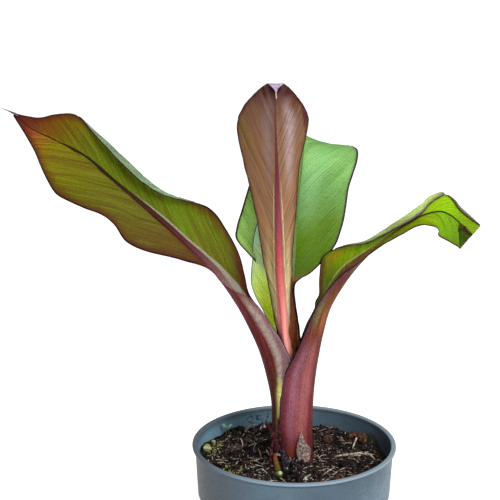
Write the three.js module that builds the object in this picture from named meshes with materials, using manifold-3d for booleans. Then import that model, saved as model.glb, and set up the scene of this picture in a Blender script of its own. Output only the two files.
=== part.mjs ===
// A young red banana plant in a round nursery pot.
// Millimetres, +Z up. The origin is the middle of the pot's flat underside,
// +X is the plant's right and -Y its front.

import * as THREE from 'three';
import { mergeVertices } from 'three/addons/utils/BufferGeometryUtils.js';
import Module from 'manifold-3d';

const wasm = await Module();
wasm.setup();

// Driving sizes of the pot
const POT_HEIGHT = 130;
const RIM_RADIUS = 85; // outside of the rolled lip
const BASE_RADIUS = 60;
const WALL = 1.8;
const FLOOR = 2.4;
const LIP_HEIGHT = 2.8;
const LIP_OVERHANG = 2.4; // how far the lip stands out from the band
const LIP_ROUNDING = 1.1;
const BAND_HEIGHT = 40.2; // steep band between the lip and the shoulder
const BAND_TAPER = 2;
const SHOULDER_STEP = 3.6;
const SHOULDER_HEIGHT = 4;
const POT_SIDES = 48;
const DRAIN_HOLES = 6;
const DRAIN_RADIUS = 4.5;
const DRAIN_SIDES = 12;
const DRAIN_RING = 46; // from the middle of the underside to each drain hole

// Driving sizes of the compost and the stem
const GAP = 0.3; // clearance between pieces that touch
const SOIL_BELOW_RIM = 17;
const SOIL_DISH = 1.5; // the compost lies this much lower at the wall
const SOIL_LEVEL_RADIUS = 30; // level part round the stem
const SOIL_TOP = POT_HEIGHT - SOIL_BELOW_RIM;
const STEM_FOOT = SOIL_TOP + GAP;
const STEM_AXIS_X = -2;
const STEM_CORE_RADIUS = 13.5;
const STEM_CORE_SHOULDER = 165;
const STEM_CORE_TOP = 182;
const STEM_CORE_SIDES = 24;

// Each leaf is one sheet from its sheath, through the leaf stalk, to the tip.
// A row is a station along it: the point at the bottom of its channel, the way
// its upper side faces, then for the right and the left half the width across,
// the lift at the rib, the curl on to the margin and the extra roll of the
// margin in degrees, and last how thick it is at the rib and at the margin.
// Right and left are as seen with the tip up and the upper side facing you.
const BELOW = STEM_FOOT - 4; // the sheaths start here and are cut level at the foot
const LEFT_LEAF = [
  [[-17, 0.5, BELOW], [0.99, -0.1, 0], [25, 0, 120, 0], [25, 0, 120, 0], [3.2, 2.0]],
  [[-15.5, 0.5, 140], [0.99, -0.1, 0], [25, 0, 120, 0], [25, 0, 120, 0], [3.2, 2.0]],
  [[-16, 0, 165], [0.99, -0.05, 0.05], [25, 0, 120, 0], [24, 0, 115, 0], [3.2, 2.0]],
  [[-20, -1, 188], [0.96, 0, 0.2], [23, 0, 118, 0], [27.5, 0, 135, 0], [3.2, 2.0]],
  [[-26, -2, 211], [0.88, 0, 0.42], [19, 0, 114, 0], [25, 0, 131, 0], [3.4, 2.0]],
  [[-35, -3, 233], [0.82, 0, 0.55], [16, 0, 106, 0], [20, 0, 115, 0], [3.6, 2.0]],
  [[-45.5, -4, 254], [0.75, -0.1, 0.62], [15, 5, 85, 0], [16.5, 0, 105, 0], [4.0, 2.2]],
  [[-62, -4, 278], [0.55, -0.4, 0.7], [22, 30, 30, 0], [5, 0, 30, 0], [4.6, 2.6]],
  [[-88, -3, 303], [0.4, -0.6, 0.68], [32, 15, 10, 40], [16, -10, 0, 0], [4.6, 2.8]],
  [[-115, 1, 327], [0.3, -0.68, 0.67], [19, 15, 10, 90], [30, -10, 0, 0], [4.4, 2.8]],
  [[-142, 6, 349], [0.25, -0.7, 0.65], [17, 15, 10, 80], [32, -10, 0, 0], [4.2, 2.8]],
  [[-168, 11, 369], [0.2, -0.72, 0.6], [22, 15, 10, 50], [35, -10, 0, 0], [4.0, 2.8]],
  [[-190, 15, 383], [0.18, -0.74, 0.6], [26, 10, 0, 0], [26, -8, 0, 0], [3.6, 2.8]],
  [[-210, 18, 393], [0.15, -0.75, 0.6], [10, 5, 0, 0], [10, -5, 0, 0], [3.2, 2.8]],
  [[-225, 20, 403], [0.1, -0.75, 0.6], [1.2, 0, 0, 0], [1.2, 0, 0, 0], [2.8, 2.8]],
];

const RIGHT_LEAF = [
  [[13.2, -2.6, BELOW], [-0.98, 0.17, 0], [29, 0, 110, 0], [29, 0, 110, 0], [3, 1.8]],
  [[12.3, -2.5, 140], [-0.98, 0.17, 0], [30, 0, 113, 0], [29, 0, 110, 0], [3, 1.8]],
  [[12.6, -2, 165], [-0.98, 0.12, 0.02], [31, 0, 125, 0], [28, 0, 112, 0], [3, 1.8]],
  [[14.3, -1.5, 188], [-0.98, 0.05, 0.1], [28.5, 0, 133, 0], [24, 0, 114, 0], [3, 1.8]],
  [[17.6, -1, 211], [-0.95, 0, 0.25], [22, 0, 119, 0], [19, 0, 112, 0], [3, 1.8]],
  [[21.2, 0, 230], [-0.93, 0, 0.36], [17, 0, 109, 0], [15, 0, 104, 0], [3.2, 2.0]],
  [[26.6, 0, 250], [-0.88, 0, 0.47], [14, 0, 95, 0], [12, 0, 90, 0], [3.6, 2.2]],
  [[41, 1, 275], [-0.75, 0, 0.65], [8, 10, 60, 0], [24.5, 40, 50, 0], [4.0, 2.5]],
  [[60.5, 3, 296], [-0.6, -0.1, 0.78], [4, -10, 0, 0], [7.5, 5, 90, 0], [3.2, 1.8]],
  [[80, 6, 311], [-0.55, -0.25, 0.8], [9, -5, 0, 0], [4, -10, 100, 0], [3, 1.8]],
  [[93, 7.5, 319], [-0.5, -0.4, 0.78], [10, -5, 0, 0], [4, -10, 90, 0], [3, 1.8]],
  [[104, 8, 324], [-0.4, -0.6, 0.7], [12.3, -10, 0, 0], [7, 5, 30, 0], [3.2, 2.2]],
  [[117, 8, 326], [0, -0.8, 0.6], [20, -10, 0, 0], [15, 5, 5, 0], [3.4, 2.5]],
  [[128, 7, 321], [0.2, -0.85, 0.5], [20, -10, 0, 0], [10, 0, 0, 0], [3.2, 2.5]],
  [[143, 4, 307], [0.3, -0.9, 0.4], [15.5, 0, 0, 0], [11, 0, 0, 0], [3, 2.5]],
];

const CENTRE_LEAF = [
  [[-5, -1, 175], [0, 1, 0], [7, 0, 95, 0], [7, 0, 95, 0], [4, 2]],
  [[-6.5, -3, 200], [0, 1, 0], [6, 0, 90, 0], [7, 0, 90, 0], [4, 2]],
  [[-9.5, -5, 225], [0, 1, 0], [5, 0, 80, 0], [5, 0, 80, 0], [4, 2]],
  [[-11, -7, 250], [0, 1, 0], [7.5, 10, 40, 0], [6.5, 10, 40, 0], [4, 2.2]],
  [[-13, -8, 280], [0, 1, 0], [12, 20, 20, 0], [10, 20, 20, 0], [3.8, 2.4]],
  [[-14, -9, 310], [0, 1, 0], [16.5, 20, 20, 0], [13, 20, 20, 0], [3.6, 2.4]],
  [[-15, -8, 340], [0, 1, 0], [21.5, 18, 20, 0], [16.5, 18, 20, 0], [3.4, 2.4]],
  [[-16, -6, 370], [0, 1, 0], [28, 18, 20, 0], [21, 18, 20, 0], [3.2, 2.4]],
  [[-17, -3, 400], [0, 1, 0], [31.5, 15, 15, 0], [27.5, 15, 15, 0], [3, 2.4]],
  [[-17, -1, 420], [0, 1, 0], [18, 10, 10, 0], [16.5, 10, 10, 0], [3, 2.4]],
  [[-17, 0, 429.5], [0, 1, 0], [6.5, 5, 5, 0], [6.5, 5, 5, 0], [2.6, 2.4]],
];

const BACK_LEAF = [
  [[0, 9, 175], [0, -1, 0], [8, 0, 95, 0], [8, 0, 95, 0], [4, 2]],
  [[-1.5, 10, 200], [0, -1, 0], [8, 0, 90, 0], [8, 0, 90, 0], [4, 2]],
  [[-3, 11, 225], [0, -1, 0.02], [7, 0, 80, 0], [8, 0, 80, 0], [4, 2]],
  [[-3.5, 12, 250], [0, -1, 0.05], [3, 10, 40, 0], [8, 10, 40, 0], [4, 2.2]],
  [[-3, 13, 275], [0, -1, 0.08], [18.5, 5, 0, 0], [28, 5, 0, 0], [3.8, 2.6]],
  [[-1, 15, 297], [0, -1, 0.1], [33, 0, 0, 0], [47, 0, 0, 0], [3.6, 2.6]],
  [[0, 18, 320], [0, -1, 0.15], [40, 0, 0, 0], [44, 0, 0, 0], [3.4, 2.6]],
  [[3, 24, 346], [0, -0.95, 0.25], [41, 0, 0, 0], [39, 0, 0, 0], [3.4, 2.6]],
  [[6, 34, 368], [0, -0.75, 0.65], [45, -10, 14, 0], [40, -8, 6, 0], [3.2, 2.6]],
  [[8, 52, 381], [0, -0.2, 1], [45, -33, 38, 0], [40, -20, 10, 0], [3.2, 2.6]],
  [[9, 74, 378], [0, 0.4, 0.9], [33, -26, 20, 0], [31, -15, 5, 0], [3, 2.6]],
  [[9, 92, 364], [0, 0.7, 0.7], [18, 0, 0, 0], [17, 0, 0, 0], [3, 2.6]],
  [[9, 104, 347], [0, 0.8, 0.6], [1.4, 0, 0, 0], [1.4, 0, 0, 0], [2.6, 2.6]],
];

// The foot of the back leaf's left half stands forward as a fold of its own
const BACK_FOLD = [
  [[-5, 10, 222], [0, -1, 0], [1, 0, 0, 0], [10.5, 30, -20, 0], [2.6, 2.4]],
  [[-6, 11, 240], [0, -1, 0], [1, 0, 0, 0], [21, 30, -50, 0], [2.6, 2.4]],
  [[-6, 12, 262], [0, -1, 0], [1, 0, 0, 0], [32, 30, -60, 0], [2.6, 2.4]],
  [[-5, 13, 284], [0, -1, 0], [1, 0, 0, 0], [32.5, 30, -60, 0], [2.6, 2.4]],
  [[-5, 15, 306], [0, -1, 0], [1, 0, 0, 0], [30, 30, -50, 0], [2.6, 2.4]],
  [[-5, 17, 328], [0, -1, 0], [1, 0, 0, 0], [20, 25, -40, 0], [2.6, 2.4]],
  [[-4, 19, 345], [0, -1, 0], [1, 0, 0, 0], [3, 20, -20, 0], [2.6, 2.4]],
];

// Smooth curve through evenly spaced keys, which are numbers
function smooth(keys, t) {
  const last = keys.length - 1;
  const place = THREE.MathUtils.clamp(t, 0, last);
  const i = Math.min(Math.floor(place), last - 1);
  const f = place - i;
  const p1 = keys[i];
  const p2 = keys[i + 1];
  const p0 = i > 0 ? keys[i - 1] : 2 * p1 - p2;
  const p3 = i + 2 <= last ? keys[i + 2] : 2 * p2 - p1;
  const bend = 2 * p0 - 5 * p1 + 4 * p2 - p3;
  const twist = 3 * (p1 - p2) + p3 - p0;
  return p1 + 0.5 * f * (p2 - p0 + f * (bend + f * twist));
}

// The same for one column of a leaf's rows, which holds a list of numbers
function smoothColumn(rows, column, t) {
  return rows[0][column].map((_, n) => smooth(rows.map((row) => row[column][n]), t));
}

const ribPoint = (rows, t) => new THREE.Vector3(...smoothColumn(rows, 0, t));

const RIB_STEP = 0.02; // stations to each side that give the rib's direction

// Rib point, direction along the rib, upper side and the way across at station t
function ribFrame(rows, t) {
  const ahead = ribPoint(rows, Math.min(t + RIB_STEP, rows.length - 1));
  const behind = ribPoint(rows, Math.max(t - RIB_STEP, 0));
  const along = ahead.sub(behind).normalize();
  const face = new THREE.Vector3(...smoothColumn(rows, 1, t));
  face.addScaledVector(along, -face.dot(along)).normalize();
  return { at: ribPoint(rows, t), along, face, across: along.clone().cross(face) };
}

const HALF_COLUMNS = 5;
const COLUMN_CROWDING = 1.4; // columns stand closer near the rib
const RIB_FADE = 3; // how fast a leaf thins from its rib to its margin
const ROLL_FROM = 0.7; // the margin's roll starts at this share of the width

// Angle of a half leaf at share v of its width, in radians
function halfAngle([, lift, curl, roll], v) {
  const outer = Math.max(0, (v - ROLL_FROM) / (1 - ROLL_FROM));
  return THREE.MathUtils.degToRad(lift + curl * v + roll * outer);
}

// Points of one half at a station, from the rib to the margin, on both sides
function halfSection(frame, half, [ribThick, edgeThick], side, grow) {
  const points = [];
  const here = frame.at.clone();
  let before = 0;
  for (let column = 0; column <= HALF_COLUMNS; column++) {
    const v = (column / HALF_COLUMNS) ** COLUMN_CROWDING;
    const width = half[0] + grow;
    const middle = halfAngle(half, (v + before) / 2);
    here.addScaledVector(frame.across, side * Math.cos(middle) * width * (v - before));
    here.addScaledVector(frame.face, Math.sin(middle) * width * (v - before));
    before = v;
    const angle = column === 0 ? 0 : halfAngle(half, v);
    const normal = frame.face.clone().multiplyScalar(Math.cos(angle));
    normal.addScaledVector(frame.across, -side * Math.sin(angle));
    const depth = edgeThick + (ribThick - edgeThick) * (1 - v) ** RIB_FADE;
    points.push({
      upper: here.clone().addScaledVector(normal, grow),
      lower: here.clone().addScaledVector(normal, -depth - grow),
    });
  }
  return points;
}

// Whole section of a leaf at station t, from its left margin to its right one
function leafSection(rows, t, grow) {
  const frame = ribFrame(rows, t);
  const thick = smoothColumn(rows, 4, t);
  const right = halfSection(frame, smoothColumn(rows, 2, t), thick, 1, grow);
  const left = halfSection(frame, smoothColumn(rows, 3, t), thick, -1, grow);
  return [...left.slice(1).reverse(), ...right];
}

// Closed shape through a list of sections that have the same number of points
function throughSections(sections) {
  const columns = sections[0].length;
  const last = sections.length - 1;
  const edge = columns - 1;
  const positions = [];
  for (const section of sections) {
    for (const { upper, lower } of section) positions.push(...upper, ...lower);
  }
  const upper = (i, j) => 2 * (i * columns + j);
  const lower = (i, j) => upper(i, j) + 1;
  const index = [];
  const quad = (a, b, c, d) => index.push(a, b, c, a, c, d);
  for (let i = 0; i < last; i++) {
    for (let j = 0; j < edge; j++) {
      quad(upper(i, j), upper(i, j + 1), upper(i + 1, j + 1), upper(i + 1, j));
      quad(lower(i, j), lower(i + 1, j), lower(i + 1, j + 1), lower(i, j + 1));
    }
    quad(upper(i, 0), upper(i + 1, 0), lower(i + 1, 0), lower(i, 0));
    quad(upper(i, edge), lower(i, edge), lower(i + 1, edge), upper(i + 1, edge));
  }
  for (let j = 0; j < edge; j++) {
    quad(upper(0, j), lower(0, j), lower(0, j + 1), upper(0, j + 1));
    quad(upper(last, j), upper(last, j + 1), lower(last, j + 1), lower(last, j));
  }
  const geometry = new THREE.BufferGeometry();
  geometry.setAttribute('position', new THREE.Float32BufferAttribute(positions, 3));
  geometry.setIndex(index);
  return geometry;
}

const WELD = 1e-4; // points closer than this are one point

// A three.js geometry as a solid that can be joined and cut
function solid(geometry) {
  const bare = geometry.clone();
  bare.deleteAttribute('normal');
  bare.deleteAttribute('uv');
  const merged = mergeVertices(bare, WELD);
  return new wasm.Manifold(new wasm.Mesh({
    numProp: 3,
    vertProperties: new Float32Array(merged.attributes.position.array),
    triVerts: new Uint32Array(merged.index.array),
  }));
}

// The largest piece of a solid, without the crumbs that a cut can leave
function mainPiece(body) {
  const pieces = body.decompose();
  return pieces.reduce((best, piece) => (piece.volume() > best.volume() ? piece : best));
}

const STATIONS_PER_ROW = 2;

// Share of a row that the given length takes up at station t
function stationsIn(rows, t, length) {
  const next = Math.min(t + 1, rows.length - 1);
  return length / ribPoint(rows, next - 1).distanceTo(ribPoint(rows, next));
}

// Solid of a leaf between two stations; grow makes it that much larger all over
function leafBody(rows, from, to, grow = 0) {
  const count = Math.ceil((to - from) * STATIONS_PER_ROW);
  const stations = [];
  for (let n = 0; n <= count; n++) stations.push(from + ((to - from) * n) / count);
  const before = from - stationsIn(rows, from, grow);
  const after = to + stationsIn(rows, to, grow);
  if (grow > 0 && before > 0) stations.unshift(before);
  if (grow > 0 && after < rows.length - 1) stations.push(after);
  return solid(throughSections(stations.map((t) => leafSection(rows, t, grow))));
}

// Station that lies one gap further along the leaf
const past = (rows, t) => t + stationsIn(rows, t, GAP);

const group = new THREE.Group();
group.name = 'banana_plant_in_pot';

// Adds a solid or a geometry to the scene as a named mesh
function place(name, shape, color, roughness = 0.6) {
  let geometry = shape;
  if (shape instanceof wasm.Manifold) {
    const { vertProperties, triVerts } = shape.getMesh();
    geometry = new THREE.BufferGeometry();
    geometry.setAttribute('position', new THREE.Float32BufferAttribute(vertProperties, 3));
    geometry.setIndex(new THREE.Uint32BufferAttribute(triVerts, 1));
    geometry.computeVertexNormals();
  }
  const material = new THREE.MeshStandardMaterial({ color, roughness, metalness: 0 });
  const mesh = new THREE.Mesh(geometry, material);
  mesh.name = name;
  group.add(mesh);
}

// Turns a profile of [radius, height] points round the pot's axis
function turned(points, sides) {
  const profile = points.map(([radius, height]) => new THREE.Vector2(radius, height));
  return new THREE.LatheGeometry(profile, sides).rotateX(Math.PI / 2);
}

// Wall heights and outside radii of the pot, from the foot to under the lip
const LIP_FOOT = POT_HEIGHT - LIP_HEIGHT;
const BAND_FOOT = LIP_FOOT - BAND_HEIGHT;
const SHOULDER_FOOT = BAND_FOOT - SHOULDER_HEIGHT;
const BAND_TOP_RADIUS = RIM_RADIUS - LIP_OVERHANG;
const BAND_FOOT_RADIUS = BAND_TOP_RADIUS - BAND_TAPER;
const SHOULDER_RADIUS = BAND_FOOT_RADIUS - SHOULDER_STEP;
const WALL_STEPS = [
  [SHOULDER_RADIUS, SHOULDER_FOOT],
  [BAND_FOOT_RADIUS, BAND_FOOT],
  [BAND_TOP_RADIUS, LIP_FOOT],
];

function pot() {
  const outside = [[0, 0], [BASE_RADIUS, 0], ...WALL_STEPS];
  const lip = [
    [RIM_RADIUS - LIP_ROUNDING, LIP_FOOT],
    [RIM_RADIUS, LIP_FOOT + LIP_ROUNDING],
    [RIM_RADIUS, POT_HEIGHT - LIP_ROUNDING],
    [RIM_RADIUS - LIP_ROUNDING, POT_HEIGHT],
    [BAND_TOP_RADIUS - WALL + LIP_ROUNDING, POT_HEIGHT],
    [BAND_TOP_RADIUS - WALL, POT_HEIGHT - LIP_ROUNDING],
  ];
  const inside = WALL_STEPS.map(([radius, height]) => [radius - WALL, height]).reverse();
  const floor = [[BASE_RADIUS - WALL, FLOOR], [0, FLOOR]];
  let body = solid(turned([...outside, ...lip, ...inside, ...floor], POT_SIDES));
  const throughFloor = 4 * FLOOR;
  for (let n = 0; n < DRAIN_HOLES; n++) {
    const angle = ((n + 0.5) / DRAIN_HOLES) * 2 * Math.PI;
    const hole = new THREE.CylinderGeometry(DRAIN_RADIUS, DRAIN_RADIUS, throughFloor, DRAIN_SIDES);
    hole.rotateX(Math.PI / 2);
    hole.translate(DRAIN_RING * Math.cos(angle), DRAIN_RING * Math.sin(angle), 0);
    body = body.subtract(solid(hole));
  }
  return body;
}

function compost() {
  const wallTop = SOIL_TOP - SOIL_DISH;
  const share = (wallTop - BAND_FOOT) / BAND_HEIGHT;
  const wallRadius = THREE.MathUtils.lerp(BAND_FOOT_RADIUS, BAND_TOP_RADIUS, share);
  const clear = WALL + GAP;
  return turned([
    [0, FLOOR + GAP],
    [BASE_RADIUS - clear, FLOOR + GAP],
    [SHOULDER_RADIUS - clear, SHOULDER_FOOT],
    [BAND_FOOT_RADIUS - clear, BAND_FOOT],
    [wallRadius - clear, wallTop],
    [SOIL_LEVEL_RADIUS, SOIL_TOP],
    [0, SOIL_TOP],
  ], POT_SIDES);
}

// Stations along the rows: where the stem ends and the outer stalks begin, where
// the inner stalks stand on the core, where the blades begin, and where a blade
// that bends round a wide gap is divided
const FORK = 3.3;
const ON_CORE = 0.2;
const BLADE = { left: 6.2, right: 6.2, centre: 3.2, back: 3.2 };
const BEND = { right: 11, back: 8.4 };
const FOLD_FOOT = 0.1;
const tip = (rows) => rows.length - 1;

// The two outer sheaths and the core that they wrap, grown by the given amount
function stem(grow = 0) {
  const core = turned([
    [0, BELOW],
    [STEM_CORE_RADIUS + grow, BELOW],
    [STEM_CORE_RADIUS + grow, STEM_CORE_SHOULDER],
    [STEM_CORE_RADIUS / 2 + grow, STEM_CORE_TOP + grow],
    [0, STEM_CORE_TOP + grow],
  ], STEM_CORE_SIDES).translate(STEM_AXIS_X, 0, 0);
  const whole = leafBody(RIGHT_LEAF, 0, FORK, grow)
    .add(leafBody(LEFT_LEAF, 0, FORK, grow))
    .add(solid(core));
  const below = new THREE.BoxGeometry(4 * RIM_RADIUS, 4 * RIM_RADIUS, POT_HEIGHT);
  below.translate(0, 0, STEM_FOOT - POT_HEIGHT / 2);
  return whole.subtract(solid(below));
}

const POT_BLUE = 0x6c7f8f;
const SOIL_BROWN = 0x3a2a20;
const STEM_RED = 0x8a4a50;
const STALK_RED = 0x8d3b45;
const STALK_PINK = 0xd8707a;
const LEAF_GREEN = 0x5f8a2a;
const LEAF_PALE = 0x7fae6a;
const LEAF_BRONZE = 0x8a6055;

place('pot', pot(), POT_BLUE, 0.5);
place('compost', compost(), SOIL_BROWN, 0.95);
place('pseudostem', mainPiece(stem()), STEM_RED);

// Everything so far made, each a gap larger, that a later piece is cut clear of
let taken = stem(GAP);

// Makes one leaf piece between two stations, clear of all the earlier ones
function leafPiece(name, rows, from, to, color, extra) {
  const whole = (grow) => {
    const body = leafBody(rows, from, to, grow);
    return extra ? body.add(extra(grow)) : body;
  };
  place(name, mainPiece(whole(0).subtract(taken)), color);
  taken = taken.add(whole(GAP));
}

leafPiece('stalk_right', RIGHT_LEAF, past(RIGHT_LEAF, FORK), BLADE.right, STALK_RED);
leafPiece('stalk_left', LEFT_LEAF, past(LEFT_LEAF, FORK), BLADE.left, STALK_RED);
leafPiece('stalk_centre', CENTRE_LEAF, ON_CORE, BLADE.centre, STALK_PINK);
leafPiece('stalk_back', BACK_LEAF, ON_CORE, BLADE.back, STALK_RED);
leafPiece('leaf_centre', CENTRE_LEAF, past(CENTRE_LEAF, BLADE.centre), tip(CENTRE_LEAF), LEAF_BRONZE);
leafPiece('leaf_left', LEFT_LEAF, past(LEFT_LEAF, BLADE.left), tip(LEFT_LEAF), LEAF_GREEN);
leafPiece('leaf_right', RIGHT_LEAF, past(RIGHT_LEAF, BLADE.right), BEND.right, LEAF_GREEN);
leafPiece('leaf_right_tip', RIGHT_LEAF, past(RIGHT_LEAF, BEND.right), tip(RIGHT_LEAF), LEAF_GREEN);
leafPiece('leaf_back', BACK_LEAF, past(BACK_LEAF, BLADE.back), BEND.back, LEAF_PALE,
  (grow) => leafBody(BACK_FOLD, FOLD_FOOT, tip(BACK_FOLD), grow));
leafPiece('leaf_back_tip', BACK_LEAF, past(BACK_LEAF, BEND.back), tip(BACK_LEAF), LEAF_PALE);

export default group;
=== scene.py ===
"""A young red banana plant in a round nursery pot, dressed for the render.

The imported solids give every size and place. Each leaf is one sheet that follows
the same rows as its solid, with finer steps, thinner blades, rolled margins and
the relief of ribs and veins. Lengths are in millimetres until a mesh is made.
"""

from __future__ import annotations

import logging
import math
from dataclasses import dataclass
from enum import Enum
from typing import Any, Callable, Sequence

import bpy
import numpy as np
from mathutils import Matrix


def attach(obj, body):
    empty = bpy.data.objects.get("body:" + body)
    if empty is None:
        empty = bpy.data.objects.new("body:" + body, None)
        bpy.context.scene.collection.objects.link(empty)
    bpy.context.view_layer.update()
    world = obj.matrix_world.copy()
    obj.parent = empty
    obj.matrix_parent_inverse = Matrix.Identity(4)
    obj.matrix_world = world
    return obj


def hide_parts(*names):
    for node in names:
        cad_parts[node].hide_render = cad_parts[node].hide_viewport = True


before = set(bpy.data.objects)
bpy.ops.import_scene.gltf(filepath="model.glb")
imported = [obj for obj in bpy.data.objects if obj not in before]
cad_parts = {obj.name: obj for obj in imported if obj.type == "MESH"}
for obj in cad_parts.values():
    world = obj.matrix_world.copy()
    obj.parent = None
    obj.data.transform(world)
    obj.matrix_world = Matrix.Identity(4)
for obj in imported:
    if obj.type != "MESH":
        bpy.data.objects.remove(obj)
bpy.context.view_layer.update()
LOG = logging.getLogger("banana_plant")
MM = 0.001
BODY = "root"
LIGHT_GIVEN = 1.45  # how much brighter than its paint a lit surface looks here

Colour = tuple[float, float, float, float]
Look = tuple[int, int, int]  # red, green and blue as they look once lit, 0 to 255
Looks = tuple[tuple[float, Look], ...]
Stops = tuple[tuple[float, Colour], ...]
Path = Sequence[Sequence[float]]
Socket = bpy.types.NodeSocket
Field = Callable[[np.ndarray, np.ndarray], np.ndarray]


def paint(red: int, green: int, blue: int, lit: float = LIGHT_GIVEN) -> Colour:
    """Gives the paint that looks like a colour once it is lit.

    Args:
        red: Red part of the look, 0 to 255.
        green: Green part, 0 to 255.
        blue: Blue part, 0 to 255.
        lit: How much the light adds.

    Returns:
        The linear colour with full alpha.
    """
    parts = [c / 255 for c in (red, green, blue)]
    linear = [c / 12.92 if c <= 0.04045 else ((c + 0.055) / 1.055) ** 2.4 for c in parts]
    return (linear[0] / lit, linear[1] / lit, linear[2] / lit, 1.0)


def painted(looks: Looks) -> Stops:
    """Gives the paints for looks along a value."""
    return tuple((at, paint(*look)) for at, look in looks)


def keyed(keys: np.ndarray, place: np.ndarray) -> np.ndarray:
    """Runs a smooth curve through evenly spaced keys, as the part's source does.

    Args:
        keys: One key per row.
        place: Where to read the curve, in rows.

    Returns:
        One value or list of values per place.
    """
    last = len(keys) - 1
    at = np.clip(np.asarray(place, float), 0, last)
    i = np.minimum(at.astype(int), last - 1)
    f = (at - i).reshape(-1, *[1] * (keys.ndim - 1))
    padded = np.concatenate([2 * keys[:1] - keys[1:2], keys, 2 * keys[-1:] - keys[-2:-1]])
    p0, p1, p2, p3 = (padded[i + k] for k in range(4))
    bend = 2 * p0 - 5 * p1 + 4 * p2 - p3
    twist = 3 * (p1 - p2) + p3 - p0
    return p1 + 0.5 * f * (p2 - p0 + f * (bend + f * twist))


def unit(vectors: np.ndarray) -> np.ndarray:
    """Scales vectors to length one."""
    return vectors / np.maximum(np.linalg.norm(vectors, axis=-1, keepdims=True), 1e-12)


def square(vectors: np.ndarray, axes: np.ndarray) -> np.ndarray:
    """Turns directions until they stand square to axes of length one."""
    return unit(vectors - axes * (vectors * axes).sum(1, keepdims=True))


def rough(x: np.ndarray, y: np.ndarray, cell: float, seed: int) -> np.ndarray:
    """Gives smooth random hills on a plane.

    Args:
        x: First coordinate.
        y: Second coordinate.
        cell: Size of one hill.
        seed: Chooses the hills.

    Returns:
        Heights from -1 to 1.
    """
    size = 64
    lattice = np.random.default_rng(seed).uniform(-1, 1, (size, size))
    u, v = np.asarray(x) / cell + 1000.0, np.asarray(y) / cell + 1000.0
    i, j = np.floor(u).astype(int), np.floor(v).astype(int)
    f, g = u - i, v - j
    f, g = f * f * (3 - 2 * f), g * g * (3 - 2 * g)
    i, j = i % size, j % size
    i1, j1 = (i + 1) % size, (j + 1) % size
    near = lattice[i, j] * (1 - f) + lattice[i1, j] * f
    far = lattice[i, j1] * (1 - f) + lattice[i1, j1] * f
    return near * (1 - g) + far * g


def bell(x: np.ndarray) -> np.ndarray:
    """Gives a smooth bump that is 1 at 0 and 0 from -1 and 1 outwards."""
    return np.clip(1 - np.square(x), 0, None) ** 2


def through(points: Path, steps: int) -> np.ndarray:
    """Gives a smooth path through a few points."""
    keys = np.array(points, float)
    return keyed(keys, np.linspace(0, len(keys) - 1, steps))


def grid_faces(rows: int, columns: int, flip: bool = False) -> np.ndarray:
    """Gives the faces of a grid of points.

    Args:
        rows: Number of rows of points.
        columns: Number of points in a row.
        flip: Turns the faces over.

    Returns:
        Faces of four corners.
    """
    i, j = np.meshgrid(np.arange(rows - 1), np.arange(columns - 1), indexing="ij")
    a = (i * columns + j).ravel()
    faces = np.stack([a, a + 1, a + columns + 1, a + columns], 1)
    return faces[:, ::-1] if flip else faces


def slab_faces(rows: int, columns: int) -> tuple[np.ndarray, np.ndarray]:
    """Gives the faces of a thin closed body with two sides of the same grid.

    Args:
        rows: Number of rows of points.
        columns: Number of points in a row.

    Returns:
        Faces of the first side, and faces of the second side and the rims.
    """
    n = rows * columns
    i, j = np.arange(rows - 1), np.arange(columns - 1)
    a, b = i * columns, i * columns + columns - 1
    c = (rows - 1) * columns + j
    rims = [np.stack([a, a + columns, a + columns + n, a + n], 1),
            np.stack([b, b + n, b + columns + n, b + columns], 1),
            np.stack([j, j + n, j + 1 + n, j + 1], 1),
            np.stack([c, c + 1, c + 1 + n, c + n], 1)]
    return grid_faces(rows, columns), np.concatenate([grid_faces(rows, columns, True) + n, *rims])


def ring_faces(rings: int, sides: int) -> np.ndarray:
    """Gives the faces between closed rings of points.

    Args:
        rings: Number of rings, one after the other.
        sides: Number of points in each.

    Returns:
        Faces of four corners.
    """
    k = np.arange(sides)
    n = (k + 1) % sides
    start = np.arange(rings - 1)[:, None] * sides
    return np.stack([start + k, start + sides + k, start + sides + n, start + n],
                    2).reshape(-1, 4)


def drum_faces(rings: int, sides: int) -> np.ndarray:
    """Gives the faces of a round body that two last points close.

    Args:
        rings: Number of rings.
        sides: Number of points in each.

    Returns:
        Its faces. They point outwards if, seen from the last ring, the rings turn clockwise.
    """
    k = np.arange(sides)
    n, last = (k + 1) % sides, (rings - 1) * sides
    foot, tip = np.full(sides, rings * sides), np.full(sides, rings * sides + 1)
    return np.concatenate([ring_faces(rings, sides), np.stack([k, n, foot, foot], 1),
                           np.stack([last + n, last + k, tip, tip], 1)])


def circle(sides: int) -> tuple[np.ndarray, np.ndarray]:
    """Gives the cosines and sines of even steps all round."""
    turn = np.arange(sides) * 2 * np.pi / sides
    return np.cos(turn), np.sin(turn)


def tube(path: np.ndarray, radii: np.ndarray, sides: int) -> tuple[np.ndarray, np.ndarray]:
    """Makes a closed round body along a path.

    Args:
        path: Points along its middle.
        radii: Its radius at each of them.
        sides: Number of sides.

    Returns:
        Points and faces.
    """
    along = unit(np.gradient(path, axis=0))
    aside = unit(np.cross(along, np.array([0.31, 0.12, 0.94])))
    up = np.cross(aside, along)
    c, s = (part[None, :, None] for part in circle(sides))
    ring = c * aside[:, None] + s * up[:, None]
    body = path[:, None] + ring * radii[:, None, None]
    points = np.concatenate([body.reshape(-1, 3), path[:1], path[-1:]])
    return points, drum_faces(len(path), sides)


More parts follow.
